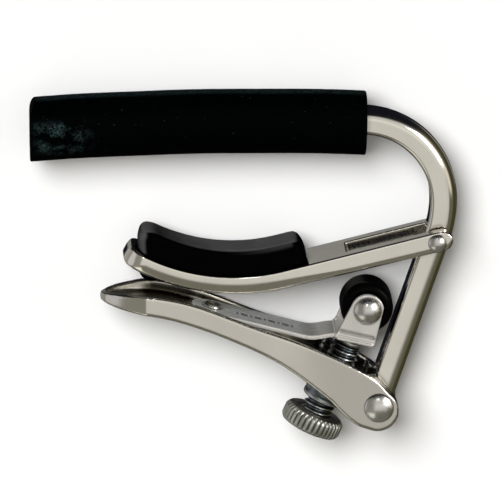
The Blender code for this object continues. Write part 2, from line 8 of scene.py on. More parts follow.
import functools
import json
from math import atan2, copysign, cos, degrees, pi, radians, sin, sqrt

import bmesh
import bpy
import numpy as np
from mathutils import Matrix, Vector


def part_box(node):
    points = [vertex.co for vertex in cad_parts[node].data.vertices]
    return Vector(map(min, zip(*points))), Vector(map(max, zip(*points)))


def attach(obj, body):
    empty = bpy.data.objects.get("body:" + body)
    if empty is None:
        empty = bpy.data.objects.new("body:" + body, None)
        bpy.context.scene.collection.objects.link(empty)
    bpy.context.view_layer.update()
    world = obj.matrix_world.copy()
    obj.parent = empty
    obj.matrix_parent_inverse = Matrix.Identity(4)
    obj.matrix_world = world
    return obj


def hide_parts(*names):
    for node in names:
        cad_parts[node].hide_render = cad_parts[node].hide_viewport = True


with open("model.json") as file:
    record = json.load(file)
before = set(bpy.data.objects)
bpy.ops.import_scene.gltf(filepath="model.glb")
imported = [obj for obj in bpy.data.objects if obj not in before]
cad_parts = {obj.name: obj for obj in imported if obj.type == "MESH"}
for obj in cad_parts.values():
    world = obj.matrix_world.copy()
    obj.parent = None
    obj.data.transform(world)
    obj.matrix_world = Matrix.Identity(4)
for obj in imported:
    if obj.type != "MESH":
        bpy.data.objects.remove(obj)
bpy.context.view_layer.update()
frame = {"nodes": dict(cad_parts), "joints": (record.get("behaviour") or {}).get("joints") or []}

MM = 0.001
JOINTS = {joint["name"]: joint for joint in frame["joints"]}
LEVER_PIVOT = Vector(JOINTS["lever_hinge"]["pos_m"][:2])
ARM_PIVOT = Vector(JOINTS["arm_hinge"]["pos_m"][:2])
ROLLER_CENTRE = Vector(JOINTS["roller_spin"]["pos_m"][:2])
STRAP_PIVOT = Vector(JOINTS["strap_flex"]["pos_m"][:2])
KNOB_CENTRE = Vector(JOINTS["screw_turn"]["pos_m"][:2])
SCREW_AXIS = Vector(JOINTS["screw_turn"]["axis"])
MID_Z = JOINTS["lever_hinge"]["pos_m"][2]
# The drawing's origin: its outlines place the lever's pivot at (28.0, -28.9) mm.
ORIGIN = LEVER_PIVOT - Vector((28.0, -28.9)) * MM


def size_of(node):
    low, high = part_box(node)
    return high - low


# Hooked bar.
BAR_THICKNESS = 5.0 * MM
BAR_DEPTH = size_of("hook_bar").z
BAR_INNER_EDGE = 0.9 * MM
BAR_OUTER_EDGE = 2.55 * MM
BAR_OUTER_GROWTH = 0.5 * MM
LEG_TAIL = 0.8 * MM
KNEE_RADIUS = 24.0 * MM
BEND_RADIUS = 16.8 * MM
BAR_ARCH_RADIUS = 640.0 * MM
BAR_HEADING = 178.1
BAR_END_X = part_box("hook_bar")[0].x + BAR_THICKNESS / 2
BAR_CAP_STEPS = 12
BAR_CAP_TAPER = 0.4 * MM

# Sleeve.
SLEEVE_LEFT_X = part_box("string_sleeve")[0].x + 0.35 * MM
SLEEVE_RIGHT_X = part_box("string_sleeve")[1].x - 0.1 * MM
SLEEVE_RADIUS = size_of("string_sleeve").z / 2 + 0.15 * MM
SLEEVE_EDGE = 0.35 * MM
SLEEVE_POINTS = 96
SLEEVE_RIPPLE = 0.03 * MM
PASSAGE_GAP = 0.12 * MM
PASSAGE_SQUARENESS = 4.0

# Arm.
ARM_SLOPE = 13.9
ARM_HEIGHT = 4.4 * MM
ARM_TIP_HEIGHT = 3.5 * MM
ARM_DEPTH = size_of("pad_arm").z
ARM_STRAIGHT = 31.8 * MM
ARM_CURVE_RADIUS = 43.0 * MM
ARM_CURVE_ANGLE = 45.8
ARM_NOSE = 3.3 * MM
ARM_NOSE_ROUND = 2.3 * MM
ARM_TIP_ROUND = 4.6 * MM
ARM_TOP_EDGE = 0.28 * MM
ARM_LOW_EDGE = 1.4 * MM
ARM_LOW_EDGE_GROWTH = 1.35 * MM
FORK_LENGTH = 18.4 * MM
FORK_GAP = 7.12 * MM
ARM_LENGTH = ARM_NOSE + ARM_STRAIGHT + ARM_CURVE_RADIUS * radians(ARM_CURVE_ANGLE)

# Pad; its start, end and nub are distances from the arm's pivot along its centre line.
PAD_THICKNESS = 5.0 * MM
PAD_DEPTH = size_of("neck_pad").z
PAD_START = 26.7 * MM
PAD_END = 64.2 * MM
PAD_FORK_CORNER = 2.6 * MM
PAD_TIP_CORNER = 4.5 * MM
PAD_PLAN_CORNER = 2.6 * MM
PAD_EDGE = 1.3 * MM
PAD_CROWN = 0.22 * MM
NUB_STATION = 59.4 * MM
NUB_RADIUS = 2.35 * MM
NUB_REACH = 1.95 * MM

# Lever.
LEVER_WIDTH = size_of("lever").z
LEVER_WALL = 1.6 * MM
TIP_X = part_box("lever")[0].x
TIP_ROUND = 10.4 * MM
PLAN_MARGIN = 0.4 * MM
BOSS_CENTRE = (27.75, -29.65)
BOSS_RADIUS = 4.35 * MM
RIM_LINE = [(-28.9, -5.5), (-26.5, -5.15), (-22.0, -4.9), (-17.0, -5.1), (-9.1, -7.0),
            (2.1, -11.45), (12.2, -15.2), (21.3, -19.4), (27.3, -23.0), (30.2, -26.0)]
BELLY_LINE = [(-28.9, -7.2), (-24.7, -8.15), (-14.5, -9.9), (-3.4, -13.9), (7.6, -19.4),
              (17.0, -26.6), (20.6, -30.3), (23.6, -32.7), (26.6, -33.8)]
FLOOR_LINE = [(-27.6, -6.1), (-22.0, -6.7), (-15.5, -7.6), (-11.2, -8.7), (-4.0, -10.65),
              (-2.2, -11.7), (2.0, -14.3), (7.6, -17.5), (13.0, -21.4), (18.0, -25.6),
              (20.8, -28.2), (23.2, -30.6)]
POCKET_RIGHT = (26.9, -21.5)
SLOT_LOW_LEFT = (21.0, -27.9)
SLOT_LOW_RIGHT = (24.6, -31.6)

# Strap.
STRAP_WIDTH = 9.8 * MM
STRAP_THICKNESS = 0.9 * MM
STRAP_TOP = [(-10.0, -7.95), (14.2, -14.3), (19.2, -13.5), (27.4, -15.5)]
STRAP_BEND = 1.6 * MM
STAMP_COUNT = 9
STAMP_START = 9.6 * MM
STAMP_PITCH = 1.45 * MM
STAMP_REACHES = (0.22 * MM, 0.72 * MM)
STAMP_DEPTH = 0.07 * MM
EAR_THICKNESS = 1.1 * MM
EAR_RADIUS = 3.4 * MM
EAR_OUTER = size_of("roller_strap").z / 2
EAR_INNER = EAR_OUTER - EAR_THICKNESS

# Screw; starts and ends are distances along its axis from the middle of the knob.
KNOB_RADIUS = 6.35 * MM
KNOB_THICKNESS = 3.8 * MM
KNOB_FLUTES = 36
KNOB_FLUTE_DEPTH = 0.5 * MM
THREAD_RADIUS = 3.175 * MM
THREAD_PITCH = 1.27 * MM
THREAD_DEPTH = 0.62 * MM
STUD_END = 17.6 * MM
STUD_NECK_RADIUS = 1.5 * MM
STUD_NECK_LENGTH = 0.85 * MM
INSERT_RADIUS = 4.3 * MM
INSERT_START = 4.7 * MM
INSERT_END = 10.2 * MM
INSERT_CHAMFER = 0.3 * MM
INSERT_LIP = 0.5 * MM
FOOT_RADIUS = 2.7 * MM
FOOT_DOME_RADIUS = 5.2 * MM

# The rivets that joints turn on: name, node, centre, body, (shank and head radius, head height).
PIVOT_RIVETS = [
    ("domed_arm_rivet", "arm_rivet", ARM_PIVOT, "arm", (1.2 * MM, 1.85 * MM, 0.65 * MM)),
    ("domed_lever_rivet", "lever_rivet", LEVER_PIVOT, "lever", (1.5 * MM, 3.0 * MM, 0.9 * MM)),
    ("domed_roller_pin", "roller_pin", ROLLER_CENTRE, "strap", (1.5 * MM, 2.85 * MM, 1.1 * MM))]

# How far a cutter reaches past the object, and what stands for no radius or thickness.
BEYOND = 60.0 * MM
LEAST_RADIUS = 0.0005 * MM
LEAST_HEIGHT = 0.1 * MM

# Camera: a long lens, a few degrees round from straight above.
CAMERA_TURN = -2.3
CAMERA_TILT = 15.5
CAMERA_LENS = 600.0
CAMERA_SENSOR = 36.0
VIEW_WIDTH = 102.5 * MM
AIM_RIGHT = 1.83 * MM
AIM_UP = 3.08 * MM


# ---- lines

def drawn(x, y):
    """A point of the drawing, given in millimetres, in the frame."""
    return ORIGIN + Vector((x, y)) * MM


def direction(heading):
    """A unit vector in the middle plane, its heading in degrees from X towards Y."""
    return Vector((cos(radians(heading)), sin(radians(heading))))


def left_of(heading):
    return direction(heading + 90.0)


def arc(centre, radius, start, end, steps):
    angles = [start + (end - start) * i / steps for i in range(steps + 1)]
    return [centre + radius * direction(angle) for angle in angles]


def smooth_line(points, steps=14):
    """A Catmull-Rom line through points of the drawing."""
    knots = [drawn(*point) for point in points]
    knots = [2 * knots[0] - knots[1]] + knots + [2 * knots[-1] - knots[-2]]
    line = []
    for a, b, c, d in zip(knots, knots[1:], knots[2:], knots[3:]):
        for i in range(steps):
            t = i / steps
            line.append(0.5 * (2 * b + (c - a) * t + (2 * a - 5 * b + 4 * c - d) * t ** 2
                               + (3 * b - a - 3 * c + d) * t ** 3))
    return line + [knots[-2]]


def walk(start, heading, moves):
    """Stations (point, heading, distance) of a path of (length, radius, steps) moves."""
    stations = [(start.copy(), heading, 0.0)]
    for length, radius, steps in moves:
        for _ in range(steps):
            point, heading, distance = stations[-1]
            step = length / steps
            turn = degrees(step / radius) if radius else 0.0
            chord = step if not radius else 2 * radius * sin(step / radius / 2)
            point = point + abs(chord) * direction(heading + turn / 2)
            stations.append((point, heading + turn, distance + step))
    return stations


def station_at(stations, distance):
    """The (point, heading) at a distance along a path of stations."""
    distances = [station[2] for station in stations]
    i = min(max(int(np.searchsorted(distances, distance)), 1), len(stations) - 1)
    (a, a_heading, a_distance), (b, b_heading, b_distance) = stations[i - 1], stations[i]
    share = (distance - a_distance) / (b_distance - a_distance)
    return a.lerp(b, share), a_heading + (b_heading - a_heading) * share


def ease(t, power):
    """A rounded end: 0 at t = 0, rising steeply, and 1 from t = 1 on."""
    t = min(max(t, 0.0), 1.0)
    return (1.0 - (1.0 - t) ** power) ** (1.0 / power)


def end_spacing(length, ends, count):
    """Distances along a length, close together near its ends."""
    near = [ends * (1 - cos(radians(90.0 * i / count))) for i in range(count + 1)]
    middle = [float(spot) for spot in np.linspace(ends, length - ends, 4 * count)][1:-1]
    return near + middle + [length - step for step in near[::-1]]


# ---- meshes

def set_all(thing, settings):
    for name, value in settings.items():
        setattr(thing, name, value)


def modify(obj, name, kind, **settings):
    set_all(obj.modifiers.new(name, kind), settings)


def in_scene(name, data):
    obj = bpy.data.objects.new(name, data)
    bpy.context.scene.collection.objects.link(obj)
    return obj


def loft(name, rings, closed=False):
    """A solid through rings of points, its last ring joined to the first if it is closed."""
    count = len(rings[0])
    points = [tuple(point) for ring in rings for point in ring]
    faces = []
    for i in range(len(rings) - (0 if closed else 1)):
        low = i * count
        high = (i + 1) % len(rings) * count
        for j in range(count):
            k = (j + 1) % count
            faces.append((low + j, low + k, high + k, high + j))
    if not closed:
        faces.append(tuple(range(count))[::-1])
        faces.append(tuple(range(len(points) - count, len(points))))
    mesh = bpy.data.meshes.new(name)
    mesh.from_pydata(points, [], faces)
    work = bmesh.new()
    work.from_mesh(mesh)
    bmesh.ops.remove_doubles(work, verts=work.verts, dist=0.002 * MM)
    bmesh.ops.dissolve_degenerate(work, edges=work.edges, dist=0.001 * MM)
    bmesh.ops.recalc_face_normals(work, faces=work.faces)
    work.to_mesh(mesh)
    work.free()
    return in_scene(name, mesh)


def plate(name, outline, low, high):
    """A flat outline of the middle plane, between two heights from that plane."""
    rings = [[(x, y, MID_Z + height) for x, y in outline] for height in (low, high)]
    return loft(name, rings)


def place_at(point, axis):
    """A matrix with its origin at a point of the middle plane and its Z along an axis."""
    turn = Vector(axis).to_track_quat("Z", "Y").to_matrix().to_4x4()
    return Matrix.Translation((point[0], point[1], MID_Z)) @ turn


def spun_ring(place, height, radii):
    """A ring about a place's Z, with a radius for each of its points."""
    turn = 2 * pi / len(radii)
    return [place @ Vector((radius * cos(turn * i), radius * sin(turn * i), height))
            for i, radius in enumerate(radii)]


def turned(name, profile, place, steps=72, closed=False):
    """A solid turned from a profile of (radius, height) about the place's Z."""
    rings = [spun_ring(place, height, [max(radius, LEAST_RADIUS)] * steps)
             for radius, height in profile]
    return loft(name, rings, closed)


def plan_cutter(name, left, half_depth, end_length, power=1.12):
    """A tongue seen from above the neck, with a rounded left end, to intersect with."""
    outline = [(BEYOND, half_depth), (BEYOND, -half_depth)]
    for i in range(65):
        spot = (i / 32.0 - 1.0) ** 2
        spread = copysign(half_depth * (1.0 - (1.0 - spot) ** power) ** 0.55, i - 32)
        outline.append((left + end_length * spot, spread))
    rings = [[(x, y, MID_Z + z) for x, z in outline] for y in (-BEYOND, BEYOND)]
    return loft(name, rings)


def cut(obj, cutter, operation="DIFFERENCE"):
    """Cuts, joins or intersects obj with a cutter, which is then gone."""
    modify(obj, cutter.name, "BOOLEAN", operation=operation, object=cutter, solver="EXACT")
    settle(obj)
    bpy.data.objects.remove(cutter, do_unlink=True)


def settle(obj):
    """Makes what the modifiers show the object's own mesh."""
    graph = bpy.context.evaluated_depsgraph_get()
    mesh = bpy.data.meshes.new_from_object(obj.evaluated_get(graph))
    obj.modifiers.clear()
    obj.data = mesh


def soften(obj, voxel, passes):
    """Even faces all over, with every edge broken as a tumbled and plated one is."""
    modify(obj, "even_faces", "REMESH", mode="VOXEL", voxel_size=voxel)
    modify(obj, "soft_edges", "SMOOTH", factor=0.5, iterations=passes)
    settle(obj)


def points_of(obj, what="co"):
    """The mesh's points, or what else each has, one row each."""
    values = np.empty(len(obj.data.vertices) * 3, np.float32)
    obj.data.vertices.foreach_get(what, values)
    return values.reshape(-1, 3)


def normals_of(obj):
    return points_of(obj, "normal")


def move_points(obj, points):
    obj.data.vertices.foreach_set("co", points.astype(np.float32).ravel())
    obj.data.update()


def paint(obj, name, values):
    """Writes a value for each point, which the piece's material reads by that name."""
    attribute = obj.data.attributes.new(name, "FLOAT", "POINT")
    attribute.data.foreach_set("value", np.asarray(values, np.float32))


def step_up(values, low, high):
    """0 below low, 1 above high and smooth between them; low may be the larger."""
    t = np.clip((values - low) / (high - low), 0, 1)
    return t * t * (3 - 2 * t)


def show(obj, body, look, slot, *nodes):
    """Gives a finished piece its material and its body, and hides the CAD nodes that it stands
    for.
    """
    obj.data.materials.clear()
    obj.data.materials.append(look)
    obj.data.shade_smooth()
    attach(obj, body)
    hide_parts(*nodes)
    return obj


# ---- materials

class Nodes:
    """A node tree, and short ways to add to it."""

    def __init__(self, tree):
        self.tree = tree

    def node(self, kind, inputs=(), **settings):
        """A new node: inputs are (socket, value or output) pairs, settings its properties."""
        made = self.tree.nodes.new("ShaderNode" + kind)
        set_all(made, settings)
        for socket, value in inputs:
            if isinstance(value, bpy.types.NodeSocket):
                self.tree.links.new(value, made.inputs[socket])
            else:
                made.inputs[socket].default_value = value
        return made

    def maths(self, operation, a, b):
        return self.node("Math", [(0, a), (1, b)], operation=operation).outputs[0]

    def remap(self, value, low=0.3, high=0.7, to_low=0.0, to_high=1.0, **settings):
        inputs = [("Value", value), ("From Min", low), ("From Max", high), ("To Min", to_low),
                  ("To Max", to_high)]
        return self.node("MapRange", inputs, **settings).outputs["Result"]

    def mix(self, factor, a, b):
        """A colour between a and b."""
        a, b = (value if isinstance(value, bpy.types.NodeSocket) else (*value, 1.0)
                for value in (a, b))
        made = self.node("Mix", [(0, factor), (6, a), (7, b)], data_type="RGBA")
        return made.outputs[2]


class Look(Nodes):
    """A Principled material and the nodes that feed it."""

    def __init__(self, name, metallic, **values):
        self.material = bpy.data.materials.new(name)
        self.material.use_nodes = True
        super().__init__(self.material.node_tree)
        self.shader = self.tree.nodes["Principled BSDF"]
        self.shader.inputs["Metallic"].default_value = metallic
        for socket, value in values.items():
            self.shader.inputs[socket.replace("_", " ")].default_value = value

    def noise(self, scale, detail=3.0, stretch=(1.0, 1.0, 1.0), roughness=0.55):
        """Noise in the piece's own space, scale in grains a metre."""
        coords = self.node("TexCoord").outputs["Object"]
        mapped = self.node("Mapping", [("Vector", coords), ("Scale", stretch)])
        inputs = [("Vector", mapped.outputs[0]), ("Scale", scale), ("Detail", detail),
                  ("Roughness", roughness)]
        return self.node("TexNoise", inputs).outputs["Fac"]

    def painted(self, name):
        """A value that paint() wrote on the piece; 0 on a piece that has none."""
        return self.node("Attribute", attribute_name=name).outputs["Fac"]

    def crevices(self, reach):
        """1 in the open and 0 in a corner, over a reach in metres."""
        made = self.node("AmbientOcclusion", [("Distance", reach)], samples=6)
        return made.outputs["AO"]

    def bump(self, height, strength, distance, below=None):
        links = [("Height", height), ("Strength", strength), ("Distance", distance)]
        if below is not None:
            links.append(("Normal", below))
        return self.node("Bump", links).outputs["Normal"]

    def finish(self, colour, roughness, normal):
        for socket, value in (("Base Color", colour), ("Roughness", roughness),
                              ("Normal", normal)):
            self.tree.links.new(value, self.shader.inputs[socket])
        return self.material


def plated(name, bright, dull, painted_shade, rough_low, rough_high, haze, grain):
    """Plated and unplated metal: cloudy tone, hairline scratches, fine pits, painted shade in
    corners.

    A piece may be painted with a darker tone (painted shade), lighter steel (painted highlight),
    a dark patch (painted shade) and unpolished.
    """
    look = Look(name, 1.0)
    clouds = look.remap(look.noise(110.0))
    tone = look.mix(clouds, bright, dull)
    # Painted shade: the tone darkens where the piece is painted for it (the lever, most towards
    # its rivet).
    tone = look.mix(look.painted("painted_dimming"), tone, tuple(0.6 * part for part in bright))
    # Painted highlight: the tone turns to a lighter steel where the piece is painted for it
    # (thread crests, the collar's lip).
    tone = look.mix(look.painted("painted_highlight"), tone, HIGHLIGHT_STEEL)
    # Painted shade: darker in corners (ambient occlusion), and where a dark patch is painted (a
    # painted reflection in the lever's trough).
    open_air = look.remap(look.crevices(2.0 * MM), 0.2, 0.8)
    unshaded = look.maths("SUBTRACT", 1.0, look.painted("painted_shade"))
    colour = look.mix(look.maths("MULTIPLY", open_air, unshaded), painted_shade, tone)
    grains = look.noise(2600.0, 4.0)
    scratches = look.remap(look.noise(1.0, 2.0, (260.0, 9000.0, 9000.0)), 0.6, 0.74)
    swirls = look.remap(look.noise(1.0, 2.0, (7000.0, 420.0, 5200.0)), 0.62, 0.75)
    marks = look.maths("MAXIMUM", scratches, swirls)
    rough = look.remap(grains, 0.3, 0.7, rough_low, rough_high)
    for cause, share in ((marks, haze), (clouds, 0.4 * haze), (look.painted("unpolished"), 0.3)):
        rough = look.maths("ADD", rough, look.maths("MULTIPLY", cause, share))
    pits = look.bump(grains, grain, 0.02 * MM)
    return look.finish(colour, rough, look.bump(marks, 0.25 * grain, 0.01 * MM, pits))


def strap_metal():
    """Satin spring steel; its stamped marks are darker, with painted shade in its creases and
    corners and a painted highlight on its top faces.
    """
    look = Look("strap_steel", 0.62)
    clouds = look.remap(look.noise(160.0))
    tone = look.mix(clouds, (0.56, 0.54, 0.505), (0.48, 0.465, 0.435))
    # Painted highlight: lighter where the piece is painted for it (its faces turned to +Y).
    tone = look.mix(look.painted("upper"), tone, (0.93, 0.95, 0.92))
    # Painted shade: darker in corners (ambient occlusion).
    open_air = look.remap(look.crevices(0.9 * MM), 0.2, 0.85)
    tone = look.mix(open_air, (0.10, 0.10, 0.08), tone)
    # Stamped marks darker, and painted shade along the creases under the ears.
    colour = look.mix(look.painted("stamp_and_crease_shade"), tone, (0.16, 0.16, 0.15))
    brushing = look.noise(1.0, stretch=(300.0, 300.0, 9000.0))
    rough = look.remap(brushing, 0.3, 0.7, 0.24, 0.36)
    return look.finish(colour, rough, look.bump(brushing, 0.12, 0.01 * MM))


def sleeve_rubber():
    """Extruded rubber, drawn along X, with a little dust near its left end and a painted sheen
    of the dust's colour along its top edge.
    """
    look = Look("sleeve_rubber", 0.0, Specular_IOR_Level=0.015)
    tone = look.mix(look.noise(240.0, 4.0), (0.0, 0.0001, 0.0002), (0.0001, 0.0003, 0.0003))
    patches = look.remap(look.noise(330.0, roughness=0.7), 0.44, 0.68)
    grains = look.remap(look.noise(2300.0, roughness=0.8), 0.4, 0.66)
    dust = look.maths("MULTIPLY", patches, look.painted("dust"))
    # Painted sheen: the top edge takes the dust's colour too.
    dust = look.maths("MULTIPLY", look.maths("MAXIMUM", dust, look.painted("rim")), grains)
    specks = look.remap(look.noise(1500.0, 1.0), 0.74, 0.77)
    dust = look.maths("MAXIMUM", dust, look.maths("MULTIPLY", specks, 0.12))
    tints = look.mix(look.noise(900.0, 1.0), (0.02, 0.085, 0.06), (0.065, 0.065, 0.09))
    drawing = look.noise(1.0, stretch=(160.0, 5200.0, 5200.0))
    rough = look.remap(drawing, 0.3, 0.7, 0.5, 0.66)
    skin = look.bump(look.noise(4200.0), 0.12, 0.02 * MM)
    return look.finish(look.mix(dust, tone, tints), rough,
                       look.bump(drawing, 0.25, 0.02 * MM, skin))


def pad_rubber():
    """Moulded rubber; a painted sheen greys the faces that meet the neck."""
    look = Look("pad_rubber", 0.0, Specular_IOR_Level=0.015)
    tone = look.mix(look.noise(500.0, 4.0), (0.0, 0.0, 0.0), (0.0004, 0.0004, 0.0004))
    clouds = look.remap(look.noise(190.0, 4.0), 0.3, 0.7, 0.72, 1.0)
    # Painted sheen: the faces painted for it turn a lighter grey.
    painted_sheen = look.maths("MULTIPLY", look.painted("painted_sheen"), clouds)
    colour = look.mix(painted_sheen, tone, (0.06, 0.06, 0.061))
    fine = look.noise(3800.0, 4.0)
    rough = look.remap(fine, 0.3, 0.7, 0.55, 0.75)
    return look.finish(colour, rough, look.bump(fine, 0.2, 0.03 * MM))


def roller_nylon():
    """Turned black nylon, polished in bands where it runs on the arm."""
    look = Look("roller_nylon", 0.0, Specular_IOR_Level=0.03)
    tone = look.mix(look.noise(420.0), (0.0002, 0.0002, 0.0002), (0.0006, 0.0007, 0.0006))
    bands = look.noise(1.0, stretch=(60.0, 60.0, 3800.0))
    rough = look.remap(bands, 0.3, 0.7, 0.22, 0.42)
    fine = look.bump(look.noise(3000.0), 0.08, 0.02 * MM)
    return look.finish(tone, rough, look.bump(bands, 0.2, 0.015 * MM, fine))


# The plated metals: bright and dull tone, painted shade colour (for corners and painted dark
# patches), lowest and highest roughness, haze, grain.
# The lighter steel of the painted highlights on thread crests and the collar's lip.
HIGHLIGHT_STEEL = (0.80, 0.80, 0.79)
NICKEL = plated("polished_nickel", (0.83, 0.80, 0.735), (0.765, 0.735, 0.67),
                (0.07, 0.064, 0.042), 0.07, 0.12, 0.07, 0.06)
RIVET = plated("rivet_nickel", (0.74, 0.735, 0.715), (0.55, 0.545, 0.525),
               (0.12, 0.11, 0.09), 0.17, 0.28, 0.12, 0.16)
STEEL = plated("worn_steel", (0.70, 0.70, 0.66), (0.42, 0.42, 0.385),
               (0.02, 0.02, 0.013), 0.26, 0.42, 0.12, 0.3)
BLUED = plated("blued_steel", (0.27, 0.305, 0.34), (0.04, 0.05, 0.062),
               (0.004, 0.005, 0.006), 0.14, 0.24, 0.08, 0.15)
BRASS = plated("washer_brass", (0.78, 0.62, 0.33), (0.62, 0.47, 0.22),
               (0.15, 0.10, 0.04), 0.2, 0.32, 0.12, 0.15)
STRAP = strap_metal()
SLEEVE = sleeve_rubber()
PAD = pad_rubber()
NYLON = roller_nylon()


# ---- hooked bar and sleeve

def bar_stations(end_x):
    """Centre line of the hooked bar, from the leg's tail to an end of the upper bar."""
    between = ARM_PIVOT - LEVER_PIVOT
    heading = degrees(atan2(between.y, between.x))
    leg = LEG_TAIL + between.length
    knee = KNEE_RADIUS * radians(90.0 - heading)
    bend = BEND_RADIUS * radians(BAR_HEADING - 90.0)
    start = LEVER_PIVOT - LEG_TAIL * direction(heading)
    moves = [(leg, None, 30), (knee, KNEE_RADIUS, 16), (bend, BEND_RADIUS, 90)]
    after_bend = walk(start, heading, moves)[-1][0]
    moves.append((after_bend.x - end_x, BAR_ARCH_RADIUS, 48))
    return walk(start, heading, moves)


def rounded_section(low, high, half_depth, radii, steps=8, shallow=1.0):
    """A section's (offset, height) points; radii are for the high and the low edges.

    The high edges reach in from the sides by their radius, or less if shallow is below 1.
    """
    high_edge, low_edge = radii
    corners = [(high - high_edge, half_depth - high_edge, high_edge, 0),
               (low + low_edge, half_depth - low_edge, low_edge, 90),
               (low + low_edge, low_edge - half_depth, low_edge, 180),
               (high - high_edge, high_edge - half_depth, high_edge, 270)]
    points = []
    for offset, height, radius, start in corners:
        corner = arc(Vector((offset, height)), radius, start, start + 90, steps)
        if start in (0, 270):
            side = copysign(half_depth, height)
            corner = [Vector((x, side + (z - side) * shallow)) for x, z in corner]
        points += corner
    return points


def ring_at(point, heading, section):
    """A section stood up across a path, its offsets to the left of the heading."""
    side = left_of(heading)
    ring = []
    for offset, height in section:
        spot = point + offset * side
        ring.append((spot.x, spot.y, MID_Z + height))
    return ring


def bar_cap(station, sign):
    """Rings that round off the bar's end at a station, sign times along its heading."""
    point, heading, _ = station
    half = BAR_THICKNESS / 2
    caps = []
    for i in range(1, BAR_CAP_STEPS + 1):
        angle = radians(89.0 * i / BAR_CAP_STEPS)
        centre = point + sign * half * sin(angle) * direction(heading)
        width = half * cos(angle)
        outer = width + BAR_OUTER_GROWTH * cos(angle)
        edges = (min(BAR_INNER_EDGE, 0.9 * width), min(BAR_OUTER_EDGE, 0.9 * width))
        depth = BAR_DEPTH / 2 - BAR_CAP_TAPER * (1 - cos(angle))
        caps.append(ring_at(centre, heading, rounded_section(-outer, width, depth, edges)))
    return caps


def make_hook_bar():
    stations = bar_stations(BAR_END_X)
    half = BAR_THICKNESS / 2
    section = rounded_section(-half - BAR_OUTER_GROWTH, half, BAR_DEPTH / 2,
                              (BAR_INNER_EDGE, BAR_OUTER_EDGE))
    rings = [ring_at(point, heading, section) for point, heading, _ in stations]
    rings = bar_cap(stations[0], -1)[::-1] + rings + bar_cap(stations[-1], 1)
    bar = loft("polished_hook_bar", rings)
    show(bar, "hook", NICKEL, "nickel", "hook_bar")
    modify(bar, "flat_faces", "WEIGHTED_NORMAL", weight=60)


def sleeve_end(height):
    """How far the hand-cut left end is cut back: most at its upper side, where height is -1."""
    return (0.2 - 0.45 * height + max(0.0, (-height - 0.3) / 0.7) ** 3) * MM


def sleeve_ring(point, heading, inset, sag, cut_back):
    """The tube's outside at a station, inset from its full radius and sagging on the bar."""
    ring = []
    for i in range(SLEEVE_POINTS):
        angle = radians(360.0 * i / SLEEVE_POINTS)
        ripple = SLEEVE_RIPPLE * sin(3 * angle + 260 * point.x)
        radius = SLEEVE_RADIUS - inset + ripple
        spot = point + (sag + radius * cos(angle)) * left_of(heading)
        spot -= cut_back * sleeve_end(cos(angle)) * direction(heading)
        ring.append((spot.x, spot.y, MID_Z + radius * sin(angle)))
    return ring


def passage_ring(point, heading, cut_back):
    """The tube's hole at a station: round, and pulled tight over the bar's corners."""
    half_height = BAR_THICKNESS / 2 + PASSAGE_GAP
    half_depth = BAR_DEPTH / 2 + PASSAGE_GAP
    ring = []
    for i in range(SLEEVE_POINTS):
        angle = radians(360.0 * i / SLEEVE_POINTS)
        reach = (abs(cos(angle) / half_height) ** PASSAGE_SQUARENESS
                 + abs(sin(angle) / half_depth) ** PASSAGE_SQUARENESS)
        reach **= -1 / PASSAGE_SQUARENESS
        offset = reach * cos(angle)
        spot = point + offset * left_of(heading)
        spot -= cut_back * sleeve_end(offset / SLEEVE_RADIUS) * direction(heading)
        ring.append((spot.x, spot.y, MID_Z + reach * sin(angle)))
    return ring


def make_sleeve():
    """A tube on the upper bar: outside, both cut ends and the hole in one skin.

    Its right end stays straight where the bar inside it starts to bend.
    """
    stations = bar_stations(SLEEVE_LEFT_X)
    first = next(distance for point, heading, distance in stations
                 if point.x < SLEEVE_RIGHT_X and heading > 150.0)
    while station_at(stations, first)[0].x < SLEEVE_RIGHT_X:
        first -= 0.08 * MM
    length = stations[-1][2] - first
    outside = []
    inside = []
    axis_point, axis_heading = station_at(stations, first + 0.3 * length)
    for along in end_spacing(length, SLEEVE_EDGE, 8):
        point, heading = station_at(stations, first + along)
        if heading < axis_heading - 2.0:
            heading = axis_heading - 1.0
            point = axis_point - (axis_point - point).length * direction(heading)
        from_end = min(along, length - along)
        inset = SLEEVE_EDGE * (1 - ease(from_end / SLEEVE_EDGE, 2.0))
        share = along / length
        sag = (0.55 - 0.65 * share) * MM
        cut_back = float(step_up(share, 0.75, 1.0))
        outside.append(sleeve_ring(point, heading, inset, sag, cut_back))
        inside.append(passage_ring(point, heading, cut_back))
    sleeve = loft("rubber_string_sleeve", outside + inside[::-1], closed=True)
    points = points_of(sleeve)
    along = np.abs(points[:, 0] - points[:, 0].min() - 6.2 * MM)
    across = np.abs(points[:, 1] - points[:, 1].min() - 6.0 * MM)
    dust = step_up(along, 6.8 * MM, 3.0 * MM) * step_up(across, 4.6 * MM, 1.5 * MM)
    paint(sleeve, "dust", 0.75 * dust * (points[:, 2] > MID_Z))
    # Painted sheen along the edge that faces +Y.
    paint(sleeve, "rim", 0.26 * step_up(normals_of(sleeve)[:, 1], 0.93, 0.995))
    show(sleeve, "hook", SLEEVE, "sleeve_rubber", "string_sleeve")


# ---- arm and pad

def arm_stations():
    """Centre line of the arm, from its round end at the pivot to its tip."""
    heading = ARM_SLOPE + 180.0
    start = ARM_PIVOT - ARM_NOSE * direction(heading)
    curve = ARM_LENGTH - ARM_NOSE - ARM_STRAIGHT
    return walk(start, heading, [(ARM_NOSE + ARM_STRAIGHT, None, 40),
                                 (curve, -ARM_CURVE_RADIUS, 60)])


